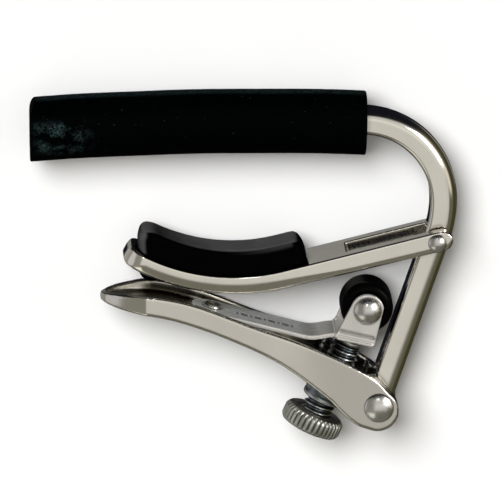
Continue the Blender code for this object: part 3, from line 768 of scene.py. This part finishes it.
def arm_section(distance):
    """The arm's section: thinner, narrower and rounder below towards its tip."""
    from_tip = ARM_LENGTH - distance
    height = ARM_HEIGHT + (ARM_TIP_HEIGHT - ARM_HEIGHT) * distance / ARM_LENGTH
    middle = (height - ARM_HEIGHT) / 2
    half = height / 2 * min(ease(from_tip / (1.5 * MM), 2.4),
                            ease(distance / ARM_NOSE_ROUND, 2.0))
    half = max(half, 0.02 * MM)
    depth = max(ARM_DEPTH / 2 * ease(from_tip / ARM_TIP_ROUND, 2.5), 0.3 * MM)
    roundness = float(step_up(distance, 20 * MM, 42 * MM))
    top_edge = min(ARM_TOP_EDGE, 0.9 * half, 0.9 * depth)
    low_edge = min(ARM_LOW_EDGE + ARM_LOW_EDGE_GROWTH * roundness, 1.4 * half, 0.9 * depth)
    return rounded_section(middle - half, middle + half, depth, (low_edge, top_edge), 10,
                           1.0 - 0.6 * roundness)


def make_arm():
    stations = arm_stations()
    rings = [ring_at(*station_at(stations, distance), arm_section(distance))
             for distance in end_spacing(ARM_LENGTH, ARM_TIP_ROUND, 22)]
    arm = loft("polished_pad_arm", rings)
    along = direction(ARM_SLOPE)
    up = ARM_HEIGHT * left_of(ARM_SLOPE)
    inner = ARM_PIVOT - FORK_LENGTH * along
    outer = ARM_PIVOT + 3 * ARM_NOSE * along
    fork = [inner - up, outer - up, outer + up, inner + up]
    cut(arm, plate("fork_gap", fork, -FORK_GAP / 2, FORK_GAP / 2))
    soften(arm, 0.16 * MM, 7)
    show(arm, "arm", NICKEL, "nickel", "pad_arm")


def pad_ring(stations, along):
    """The pad's section at a distance along it: crowned, drafted and leaning at its ends."""
    length = PAD_END - PAD_START
    bottom = -ARM_HEIGHT / 2
    point, heading = station_at(stations, ARM_NOSE + PAD_START + along)
    from_end = min(along, length - along)
    corner = PAD_TIP_CORNER if along > length / 2 else PAD_FORK_CORNER
    rise = max(PAD_THICKNESS * ease(from_end / corner, 2.1), LEAST_HEIGHT)
    half = max(PAD_DEPTH / 2 * ease(from_end / PAD_PLAN_CORNER, 2.3), 0.2 * MM)
    edge = min(PAD_EDGE, 0.9 * half, 0.45 * rise)
    crowned = []
    for offset, height in rounded_section(bottom - rise, bottom, half, (0.2 * edge, edge), 8):
        upper = (bottom - offset) / rise
        crown = PAD_CROWN * (1 - (height / half) ** 2) * upper
        crowned.append((offset - crown, height * (1 - 0.05 * upper)))
    lean = 0.62 * float(step_up(along, length - 10 * MM, length))
    lean -= 0.14 * float(step_up(along, 8 * MM, 0.0))
    ring = []
    for (x, y, z), (offset, _) in zip(ring_at(point, heading, crowned), crowned):
        shift = lean * max(bottom - offset, 0.0) * direction(heading)
        ring.append((x + shift.x, y + shift.y, z))
    return ring


def pad_nub(stations):
    """The knob of rubber pulled down through the arm, which holds the pad on."""
    point, heading = station_at(stations, ARM_NOSE + NUB_STATION)
    down = left_of(heading)
    start = -ARM_HEIGHT / 2 - 1 * MM
    low = ARM_TIP_HEIGHT - ARM_HEIGHT / 2 + 0.25 * MM
    profile = [(0.0, start), (NUB_RADIUS, start), (NUB_RADIUS, low)]
    for i in range(1, 10):
        angle = radians(10.0 * i)
        profile.append((NUB_RADIUS * cos(angle), low + NUB_REACH * sin(angle)))
    return turned("nub", profile, place_at(point, (down.x, down.y, 0.0)))


def make_pad():
    """The pad's skin, crowned and rounded at both ends, and the nub pulled through the arm."""
    stations = arm_stations()
    rings = [pad_ring(stations, along)
             for along in end_spacing(PAD_END - PAD_START, 4.6 * MM, 24)]
    pad = loft("rubber_neck_pad", rings)
    cut(pad, pad_nub(stations), "UNION")
    soften(pad, 0.16 * MM, 14)
    # Painted sheen: lighter grey on the faces turned to the neck and on the tip end's upper
    # faces.
    facing = normals_of(pad)
    neck = left_of(12.0)
    painted_sheen = step_up(facing @ np.array([neck.x, neck.y, 0.0]), 0.72, 0.95)
    tip_end = facing @ np.array([-0.72, 0.42, 0.55])
    painted_sheen = np.maximum(painted_sheen, 0.8 * step_up(tip_end, 0.66, 0.97))
    painted_sheen *= step_up(points_of(pad)[:, 1], -4.6 * MM, -3.2 * MM)
    paint(pad, "painted_sheen", painted_sheen)
    show(pad, "arm", PAD, "pad_rubber", "neck_pad")


# ---- lever, strap and roller

def lever_pocket():
    """What is taken out of the lever to leave a trough with a rounded spoon end."""
    room = LEVER_WIDTH / 2 - LEVER_WALL
    floor = smooth_line(FLOOR_LINE)
    right = drawn(*POCKET_RIGHT)
    outline = floor + [right, Vector((right.x, 0.0)), Vector((floor[0].x, 0.0))]
    pocket = plate("pocket", outline, -room, room)
    plan = plan_cutter("pocket_plan", TIP_X + LEVER_WALL, room + PLAN_MARGIN, TIP_ROUND)
    cut(pocket, plan, "INTERSECT")
    return pocket


def smooth_spoon(lever):
    """Rounds the lever's tip more than the rest of it."""
    group = lever.vertex_groups.new(name="spoon")
    near_tip = step_up(points_of(lever)[:, 0], -13 * MM, -24 * MM)
    for index in np.nonzero(near_tip > 0.01)[0]:
        group.add([int(index)], float(near_tip[index]), "REPLACE")
    modify(lever, "spoon", "SMOOTH", factor=0.5, iterations=10, vertex_group="spoon")
    settle(lever)


def paint_lever(lever, rim):
    """Unpolished inside the spoon, a painted dark reflection in the trough, and painted shade
    that darkens the lever, most towards the rivet.
    """
    points = points_of(lever)
    facing = normals_of(lever)
    x = points[:, 0]
    height = points[:, 2] - MID_Z
    inwards = -facing[:, 2] * np.sign(height)
    inside = np.maximum(step_up(facing[:, 1], 0.1, 0.5), step_up(inwards, 0.1, 0.5))
    inside *= np.abs(height) < LEVER_WIDTH / 2 - 0.5 * MM
    line = np.array([tuple(point) for point in rim])
    sunk = np.interp(x, line[:, 0], line[:, 1]) - points[:, 1]
    # Painted reflection: a dark patch low in the trough under the pad's nub, standing in for the
    # nub's reflection.
    painted_shade = inside * step_up(x, -21.5 * MM, -19.0 * MM) * step_up(x, -8.0 * MM, -11.0 * MM)
    painted_shade *= step_up(sunk, 0.3 * MM, 1.1 * MM)
    paint(lever, "unpolished", 0.6 * inside * step_up(x, -6 * MM, -14 * MM))
    paint(lever, "painted_shade", 0.93 * painted_shade)
    # Painted shade: the whole lever a little darker, most from 9 mm to 19 mm and on towards the
    # rivet.
    paint(lever, "painted_dimming", 0.3 + 0.45 * step_up(x, 9 * MM, 19 * MM))


def make_lever():
    half = LEVER_WIDTH / 2
    rim = smooth_line(RIM_LINE)
    boss = arc(drawn(*BOSS_CENTRE), BOSS_RADIUS, -105, 40, 40)
    outline = smooth_line(BELLY_LINE) + boss + rim[::-1]
    lever = plate("polished_lever", outline, -half, half)
    plan = plan_cutter("spoon_plan", TIP_X, half + PLAN_MARGIN, TIP_ROUND)
    cut(lever, plan, "INTERSECT")
    cut(lever, lever_pocket())
    low_left, low_right = drawn(*SLOT_LOW_LEFT), drawn(*SLOT_LOW_RIGHT)
    slot = [Vector((low_left.x, 0.0)), low_left, low_right, Vector((low_right.x, -BEYOND)),
            Vector((BEYOND, -BEYOND)), Vector((BEYOND, 0.0))]
    cut(lever, plate("leg_slot", slot, -FORK_GAP / 2, FORK_GAP / 2))
    start, radius = INSERT_START - 6 * MM, INSERT_RADIUS + 0.1 * MM
    insert_room = [(0.0, start), (radius, start), (radius, STUD_END), (0.0, STUD_END)]
    cut(lever, turned("insert_room", insert_room, screw_place()))
    soften(lever, 0.21 * MM, 17)
    smooth_spoon(lever)
    paint_lever(lever, rim)
    show(lever, "lever", NICKEL, "nickel", "lever")


def strap_knots():
    """The strap's left end, its knee, and the ends of the cradle between its ears."""
    return [drawn(*point) for point in STRAP_TOP]


def strap_outline():
    """The strap's top line with its bends eased, and its underside below it."""
    knots = strap_knots()
    top = [knots[0]]
    for before, knot, after in zip(knots, knots[1:], knots[2:]):
        into = knot + (before - knot).normalized() * STRAP_BEND
        out = knot + (after - knot).normalized() * STRAP_BEND
        for i in range(9):
            t = i / 8
            top.append((1 - t) ** 2 * into + 2 * t * (1 - t) * knot + t ** 2 * out)
    top.append(knots[-1])
    under = []
    for i, point in enumerate(top):
        a, b = top[max(i - 1, 0)], top[min(i + 1, len(top) - 1)]
        along = (b - a).normalized()
        under.append(point - STRAP_THICKNESS * Vector((-along.y, along.x)))
    return top, under


def beside(points, start, along):
    """Each point's distance along a line of the middle plane, and its height over it."""
    flat = points[:, :2] - np.array(start)
    return flat @ np.array(along), flat @ np.array((-along.y, along.x))


def press_marks(strap):
    """Presses a row of plain shallow dashes into the strap's top; gives where they are."""
    start, knee, _, _ = strap_knots()
    along = (knee - start).normalized()
    points = points_of(strap).astype(np.float64)
    station, lift = beside(points, start, along)
    across = points[:, 2] - MID_Z
    mask = np.zeros(len(points))
    for i in range(STAMP_COUNT):
        from_middle = np.abs(station - (STAMP_START + i * STAMP_PITCH))
        reach = STAMP_REACHES[i % 2]
        inside = step_up(from_middle, reach + 0.1 * MM, reach - 0.1 * MM)
        inside *= step_up(np.abs(across - 0.3 * MM), 1.0 * MM, 0.75 * MM)
        mask = np.maximum(mask, inside)
    mask *= lift > -0.3 * MM
    points[:, :2] -= (STAMP_DEPTH * mask)[:, None] * np.array((-along.y, along.x))
    move_points(strap, points)
    return mask


def paint_strap(strap, mask):
    """Darkens the marks, paints shade into the creases under the ears, and paints a highlight on
    the left half's top.
    """
    points = points_of(strap).astype(np.float64)
    across = points[:, 2] - MID_Z
    _, knee, shoulder, end = strap_knots()
    station, lift = beside(points, shoulder, (end - shoulder).normalized())
    ears = step_up(station, 0.2 * MM, 0.7 * MM) * (np.abs(across) > EAR_INNER)
    # Painted shade: dark lines along the creases under the ears.
    for middle, width, depth in ((1.62 * MM, 0.26 * MM, 0.95), (0.78 * MM, 0.16 * MM, 0.6)):
        line = step_up(np.abs(lift + STRAP_THICKNESS - middle), width, 0.4 * width)
        mask = np.maximum(mask, depth * line * ears)
    paint(strap, "stamp_and_crease_shade", 0.8 * mask)
    # Painted highlight: lighter on faces turned to +Y, less past the knee.
    upper = step_up(normals_of(strap)[:, 1], 0.6, 0.9)
    past_knee = step_up(points[:, 0], knee.x - 3 * MM, knee.x)
    paint(strap, "upper", upper * (1 - 0.8 * past_knee))


def fold_ears(strap, shoulder, end, drop):
    """A rounded ridge below each ear's fold, and a groove across the ear above it."""
    base = (end - shoulder).normalized()
    length = (end - shoulder).length - 1.0 * MM
    for lift, radius, kind in ((0.1 * MM, 0.36 * MM, "UNION"),
                               (1.65 * MM, 0.42 * MM, "DIFFERENCE")):
        for side in (1, -1):
            start = shoulder + drop - drop.normalized() * lift + 0.5 * MM * base
            place = place_at(start, (base.x, base.y, 0.0))
            place.translation.z = MID_Z + side * (EAR_OUTER - 0.05 * MM)
            rod = [(0.0, 0.0), (radius, 0.0), (radius, length), (0.0, length)]
            cut(strap, turned("ridge", rod, place, 24), kind)


def make_strap():
    top, under = strap_outline()
    half = STRAP_WIDTH / 2
    strap = plate("satin_roller_strap", under + top[::-1], -half, half)
    start, _, shoulder, end = strap_knots()
    cut(strap, plan_cutter("strap_plan", start.x - 0.2 * MM, half, half, 2.0), "INTERSECT")
    base = (end - shoulder).normalized()
    drop = Vector((base.y, -base.x)) * STRAP_THICKNESS
    cradle = [shoulder + drop, end + drop, end, shoulder]
    cut(strap, plate("cradle", cradle, -EAR_OUTER, EAR_OUTER), "UNION")
    ear = [shoulder + 0.8 * drop + 0.1 * MM * base, end + 0.8 * drop - 0.1 * MM * base]
    ear += arc(ROLLER_CENTRE, EAR_RADIUS, 8, 152, 40)
    for name, low in (("near_ear", EAR_INNER), ("far_ear", -EAR_OUTER)):
        cut(strap, plate(name, ear, low, low + EAR_THICKNESS), "UNION")
    fold_ears(strap, shoulder, end, drop)
    soften(strap, 0.14 * MM, 3)
    paint_strap(strap, press_marks(strap))
    show(strap, "strap", STRAP, "nickel", "roller_strap")


def make_roller():
    """A tyre with rounded shoulders, a shallow running band and a dished hub."""
    low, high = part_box("roller_tyre")
    half = (high.z - low.z) / 2
    radius = (high.x - low.x) / 2
    bore = 2.6 * MM
    edge = 1.5 * MM
    dish = half - 0.35 * MM
    hub = [(bore, dish), (bore + 0.9 * MM, dish), (bore + 1.1 * MM, half)]
    shoulder = arc(Vector((radius - edge, half - edge)), edge, 90, 0, 12)
    upper = hub + shoulder + [(radius - 0.03 * MM, 1.2 * MM)]
    profile = upper + [(reach, -height) for reach, height in upper[::-1]]
    place = place_at(ROLLER_CENTRE, (0, 0, 1))
    roller = turned("nylon_roller", profile, place, 96, closed=True)
    show(roller, "roller", NYLON, "roller_nylon", "roller_tyre")


# ---- rivets

def dome_profile(radius, seat, height, steps=14):
    """A hand-set rivet head: a thin straight rim, then a full dome."""
    rim = 0.16 * height
    points = [(0.92 * radius, seat), (radius, seat + 0.5 * rim), (radius, seat + rim)]
    rise = height - rim
    sphere = (radius ** 2 + rise ** 2) / (2 * rise)
    for i in range(1, steps + 1):
        spot = radius * (1 - i / steps)
        points.append((spot, seat + height - sphere + sqrt(sphere ** 2 - spot ** 2)))
    return points


def make_rivets():
    """Domed heads on both sides; the near one, hammered less, is the fuller."""
    for name, node, centre, body, (shank, head, height) in PIVOT_RIVETS:
        seat = size_of(node).z / 2 - height
        far = [(radius, -z) for radius, z in dome_profile(head, seat, height)[::-1]]
        near = dome_profile(head, seat, 1.4 * height)
        profile = far + [(shank, -seat), (shank, seat)] + near
        rivet = turned(name, profile, place_at(centre, (0, 0, 1)), 80)
        show(rivet, body, RIVET, "nickel", node)


def make_strap_rivet():
    """A tubular rivet rolled over on the strap."""
    start, knee, _, _ = strap_knots()
    along = (knee - start).normalized()
    place = place_at(STRAP_PIVOT, (-along.y, along.x, 0.0))
    profile = [(radius * MM, height * MM) for radius, height in (
        (0.0, -2.9), (1.1, -2.9), (1.1, 0.05), (2.1, 0.05), (2.12, 0.2), (1.9, 0.55),
        (1.45, 0.78), (1.05, 0.82), (0.85, 0.6), (0.5, 0.35), (0.0, 0.3))]
    rivet = turned("rolled_strap_rivet", profile, place, 64)
    show(rivet, "lever", RIVET, "steel", "strap_rivet")


# ---- thumbscrew

def screw_place():
    return place_at(KNOB_CENTRE, SCREW_AXIS)


def about_screw(obj):
    """Each point's distance from the screw's axis, and its height along the axis."""
    back = np.array(screw_place().inverted())
    local = points_of(obj) @ back[:3, :3].T + back[:3, 3]
    return np.hypot(local[:, 0], local[:, 1]), local[:, 2]


def make_knob():
    """A fluted disc with chamfered rims, its flutes fading out over the chamfers."""
    steps = KNOB_FLUTES * 12
    half = KNOB_THICKNESS / 2
    # Each rim from its side's flat to the flutes, or back: (mm below the side, share of the
    # knob's radius, share of the flutes' depth).
    outer = [(0.0, 0.0, 0.0), (0.0, 0.62, 0.0), (0.02, 0.86, 0.0), (0.16, 0.925, 0.1),
             (0.42, 0.965, 0.55), (0.8, 0.99, 0.95), (1.1, 1.0, 1.0)]
    inner = [(1.0, 1.0, 1.0), (0.75, 0.985, 0.95), (0.4, 0.945, 0.6), (0.12, 0.90, 0.12),
             (0.0, 0.86, 0.0), (0.02, 0.80, 0.0), (0.18, 0.72, 0.0), (0.18, 0.60, 0.0),
             (0.02, 0.56, 0.0), (0.0, 0.42, 0.0), (0.5, 0.34, 0.0), (0.5, 0.0, 0.0)]
    stops = [(below * MM - half, share, flute) for below, share, flute in outer]
    stops.append((0.0, 1.0, 1.0))
    stops += [(half - below * MM, share, flute) for below, share, flute in inner]
    grooves = [max(0.0, cos(KNOB_FLUTES * 2 * pi * i / steps)) ** 0.75
               for i in range(steps)]
    rings = []
    for height, share, flute in stops:
        radii = [max(KNOB_RADIUS * share - KNOB_FLUTE_DEPTH * groove * flute, LEAST_RADIUS)
                 for groove in grooves]
        rings.append(spun_ring(screw_place(), height, radii))
    knob = loft("fluted_thumb_knob", rings)
    show(knob, "thumbscrew", STEEL, "steel", "screw_knob")


def make_stud():
    """The stud's real thread, run out at both ends, with a plain neck for the foot."""
    place = screw_place()
    start = KNOB_THICKNESS / 2 - 0.45 * MM
    length = STUD_END - start
    steps = 64
    count = int(length / THREAD_PITCH * 14)
    rings = []
    for i in range(count + 1):
        height = start + length * i / count
        fade = min(ease((height - start) / (0.6 * MM), 2.0),
                   ease((STUD_END - height) / (0.7 * MM), 2.0))
        radii = []
        for j in range(steps):
            phase = (height / THREAD_PITCH - j / steps) % 1.0
            crest = min(1.0, max(0.0, 1.25 - abs(phase - 0.5) * 3.1))
            radii.append(THREAD_RADIUS - THREAD_DEPTH * (1 - crest * fade))
        rings.append(spun_ring(place, height, radii))
    for height in (STUD_END, STUD_END + STUD_NECK_LENGTH):
        rings.append(spun_ring(place, height, [STUD_NECK_RADIUS] * steps))
    stud = loft("threaded_stud", rings)
    # Painted highlight: lighter steel on the thread's crests.
    depth = (THREAD_RADIUS - about_screw(stud)[0]) / THREAD_DEPTH
    paint(stud, "painted_highlight", 0.75 * step_up(depth, 0.4, 0.1))
    show(stud, "thumbscrew", BLUED, "dark_steel", "screw_stud")


def make_insert():
    """The threaded collar pressed into the lever, with a rolled lip below it."""
    inner = THREAD_RADIUS + 0.1 * MM
    outer = INSERT_RADIUS
    start, end, chamfer, lip = INSERT_START, INSERT_END, INSERT_CHAMFER, INSERT_LIP
    profile = [(inner + chamfer, start), (outer - lip, start)]
    profile += arc(Vector((outer - lip, start + lip)), lip, -90, 0, 8)
    profile += [(outer, start + 1.0 * MM), (outer - chamfer, start + 1.2 * MM),
                (outer - chamfer, start + 1.5 * MM), (outer, start + 1.7 * MM),
                (outer, end - chamfer), (outer - chamfer, end), (inner + chamfer, end),
                (inner, end - chamfer), (inner, start + chamfer)]
    insert = turned("threaded_collar", profile, screw_place(), 80, closed=True)
    radius, height = about_screw(insert)
    # Painted highlight: lighter steel on the lip at the collar's lower outer edge.
    highlighted = step_up(height, start + 0.7 * MM, start + 0.3 * MM)
    highlighted *= step_up(radius, outer - 0.8 * MM, outer - 0.3 * MM)
    paint(insert, "painted_highlight", 0.7 * highlighted)
    show(insert, "lever", BLUED, "dark_steel", "thread_insert")


def make_foot():
    """The domed cap that turns on the stud's neck and bears on the strap."""
    low = STUD_END + 0.1 * MM
    profile = [(1.6 * MM, low), (FOOT_RADIUS - 0.2 * MM, low), (FOOT_RADIUS, low + 0.15 * MM),
               (FOOT_RADIUS, low + 0.75 * MM)]
    centre = low + 1.63 * MM - FOOT_DOME_RADIUS
    for i in range(13):
        spread = (FOOT_RADIUS - 0.08 * MM) * (1 - i / 12)
        profile.append((spread, centre + sqrt(FOOT_DOME_RADIUS ** 2 - spread ** 2)))
    profile += [(0.0, low + 0.92 * MM), (1.6 * MM, low + 0.92 * MM)]
    foot = turned("swivel_foot", profile, screw_place(), 64, closed=True)
    show(foot, "screw_lift", STEEL, "steel", "screw_foot")


def dress_cad_nodes():
    """Washers and bush keep their CAD mesh, with broken edges and real metal."""
    brass = ("arm_washer_near", "arm_washer_far", "lever_washer_near", "lever_washer_far",
             "roller_bush")
    for name in brass + ("roller_washer_near", "roller_washer_far"):
        node = frame["nodes"][name]
        node.data.materials.clear()
        node.data.materials.append(BRASS if name in brass else STEEL)
        modify(node, "weld", "WELD", merge_threshold=0.001 * MM)
        modify(node, "broken_edges", "BEVEL", width=0.05 * MM, segments=2, limit_method="ANGLE",
               angle_limit=radians(50))


# ---- studio

def make_floor():
    """A plain pale sheet, too matt to matter in the metal's reflections."""
    mesh = bpy.data.meshes.new("floor")
    reach = 20.0
    corners = [(-reach, -reach, 0), (reach, -reach, 0), (reach, reach, 0), (-reach, reach, 0)]
    mesh.from_pydata(corners, [], [(0, 1, 2, 3)])
    floor = in_scene("floor", mesh)
    look = Look("floor_paper", 0.0, Specular_IOR_Level=0.0)
    tone = look.mix(look.noise(40.0), (0.64, 0.64, 0.64), (0.66, 0.66, 0.66))
    fibres = look.noise(900.0)
    floor.data.materials.append(look.finish(tone, look.remap(fibres, 0.0, 1.0, 0.8, 0.9),
                                            look.bump(fibres, 0.02, 0.02 * MM)))
    floor.visible_glossy = False


# The room round the object, seen only in its reflections. ROOM is its plain colour by height,
# from straight below (0) to straight above (1). Over it lie cards: each has its colour and one
# or more patches, and a patch is where all its ramps (axis, from, to) of the direction are 1.
ROOM = [(0.0, (0.30, 0.30, 0.285)), (0.05, (0.25, 0.25, 0.235)), (0.12, (0.42, 0.41, 0.39)),
        (0.47, (0.2, 0.19, 0.15)), (0.53, (0.10, 0.092, 0.07)), (0.72, (0.33, 0.32, 0.30)),
        (0.88, (0.6, 0.59, 0.565)), (1.0, (0.70, 0.685, 0.65))]
CARDS = {
    "low": ((0.18, 0.175, 0.142), [[("Y", -0.32, -0.46), ("Z", -0.1, 0.05)]]),
    "low line": ((0.05, 0.05, 0.035),
                 [[("Y", -0.1, -0.2), ("Z", -0.1, -0.35), ("X", -0.55, -0.4)]]),
    "left dark": ((0.27, 0.265, 0.23), [[("X", -0.25, -0.5), ("Z", 0.1, 0.3)]]),
    "left": ((0.60, 0.60, 0.62), [[("X", -0.84, -0.93), ("Z", -0.35, -0.15)]]),
    "right": ((0.8, 0.73, 0.6), [[("X", 0.72, 0.82), ("Z", 0.22, 0.34)]]),
    "strip": ((0.86, 0.85, 0.8), [[("Y", -0.12, -0.02), ("Y", 0.28, 0.18),
                                   ("Z", 0.75, 0.85), ("X", -0.34, -0.2)]]),
    "low left": ((0.95, 0.94, 0.85),
                 [[("X", -0.22, -0.32), ("Y", -0.5, -0.62), ("Z", 0.3, 0.42)]]),
    "low right": ((0.13, 0.125, 0.085), [[("X", 0.56, 0.74), ("Y", -0.12, -0.24)]]),
    "right dark": ((0.055, 0.052, 0.024),
                   [[("X", 0.4, 0.62), ("Z", 0.14, 0.02), ("Z", -0.8, -0.55)]]),
    "far and below": ((0.008, 0.008, 0.012),
                      [[("Y", 0.5, 0.72)], [("Y", 0.28, 0.42), ("Z", -0.3, -0.5)],
                       [("X", -0.06, 0.0), ("Z", -0.8, -0.9)],
                       [("Y", 0.12, 0.02), ("Z", -0.8, -0.9)]]),
}


def make_world():
    """The room's colours by height, and its cards laid over them in order."""
    world = bpy.data.worlds.new("studio")
    bpy.context.scene.world = world
    world.use_nodes = True
    room = Nodes(world.node_tree)
    coords = room.node("TexCoord").outputs["Generated"]
    axes = room.node("SeparateXYZ", [(0, coords)]).outputs
    shades = room.node("ValToRGB", [("Fac", room.remap(axes["Z"], -1.0, 1.0))])
    elements = shades.color_ramp.elements
    elements[0].position, elements[1].position = ROOM[0][0], ROOM[-1][0]
    for position, _ in ROOM[1:-1]:
        elements.new(position)
    for element, (_, tint) in zip(elements, ROOM):
        element.color = (*tint, 1.0)

    def patch(ramps):
        masks = [room.remap(axes[axis], low, high, interpolation_type="SMOOTHSTEP")
                 for axis, low, high in ramps]
        return functools.reduce(lambda a, b: room.maths("MULTIPLY", a, b), masks)

    colour = shades.outputs["Color"]
    for tint, patches in CARDS.values():
        mask = functools.reduce(lambda a, b: room.maths("MAXIMUM", a, b), map(patch, patches))
        colour = room.mix(mask, colour, tint)
    room.tree.links.new(colour, room.tree.nodes["Background"].inputs["Color"])


def add_light(name, kind, azimuth, elevation, energy, **settings):
    """A light a metre off, its azimuth from +X towards +Y, its elevation above the floor."""
    light = bpy.data.lights.new(name, kind)
    light.energy = energy
    set_all(light, settings)
    obj = in_scene(name, light)
    flat = cos(radians(elevation)) * direction(azimuth)
    obj.location = (flat.x, flat.y, sin(radians(elevation)))
    obj.rotation_mode = "QUATERNION"
    obj.rotation_quaternion = obj.location.to_track_quat("Z", "Y")
    return obj


def make_lights():
    key = add_light("ceiling_key", "SUN", 125.8, 58.4, 4.4, angle=radians(34))
    key.visible_glossy = False
    window = add_light("right_window", "AREA", 24.0, 41.0, 5.0, shape="RECTANGLE", size=0.42,
                       size_y=0.32)
    window.visible_diffuse = False
    lamp = add_light("far_lamp", "AREA", 92.0, 56.0, 0.3, shape="DISK", size=0.1)
    lamp.visible_diffuse = False


def make_camera():
    camera = in_scene("camera", bpy.data.cameras.new("camera"))
    camera.data.lens = CAMERA_LENS
    camera.data.sensor_width = CAMERA_SENSOR
    tilt, turn = radians(CAMERA_TILT), radians(CAMERA_TURN)
    back = Vector((sin(turn), sin(tilt), cos(tilt))).normalized()
    right = Vector((0.0, 1.0, 0.0)).cross(back).normalized()
    up = back.cross(right)
    aim = Vector((0.0, 0.0, MID_Z)) + AIM_RIGHT * right + AIM_UP * up
    distance = VIEW_WIDTH * CAMERA_LENS / CAMERA_SENSOR
    turn_matrix = Matrix((right, up, back)).transposed().to_4x4()
    camera.matrix_world = Matrix.Translation(aim + distance * back) @ turn_matrix
    camera.data.clip_start = 0.01
    camera.data.clip_end = 100.0
    bpy.context.scene.camera = camera


make_camera()
for make in (make_hook_bar, make_sleeve, make_arm, make_pad, make_lever, make_strap, make_roller,
             make_rivets, make_strap_rivet, make_knob, make_stud, make_insert, make_foot,
             dress_cad_nodes, make_floor, make_world, make_lights):
    make()
bpy.context.scene.view_settings.view_transform = "Standard"
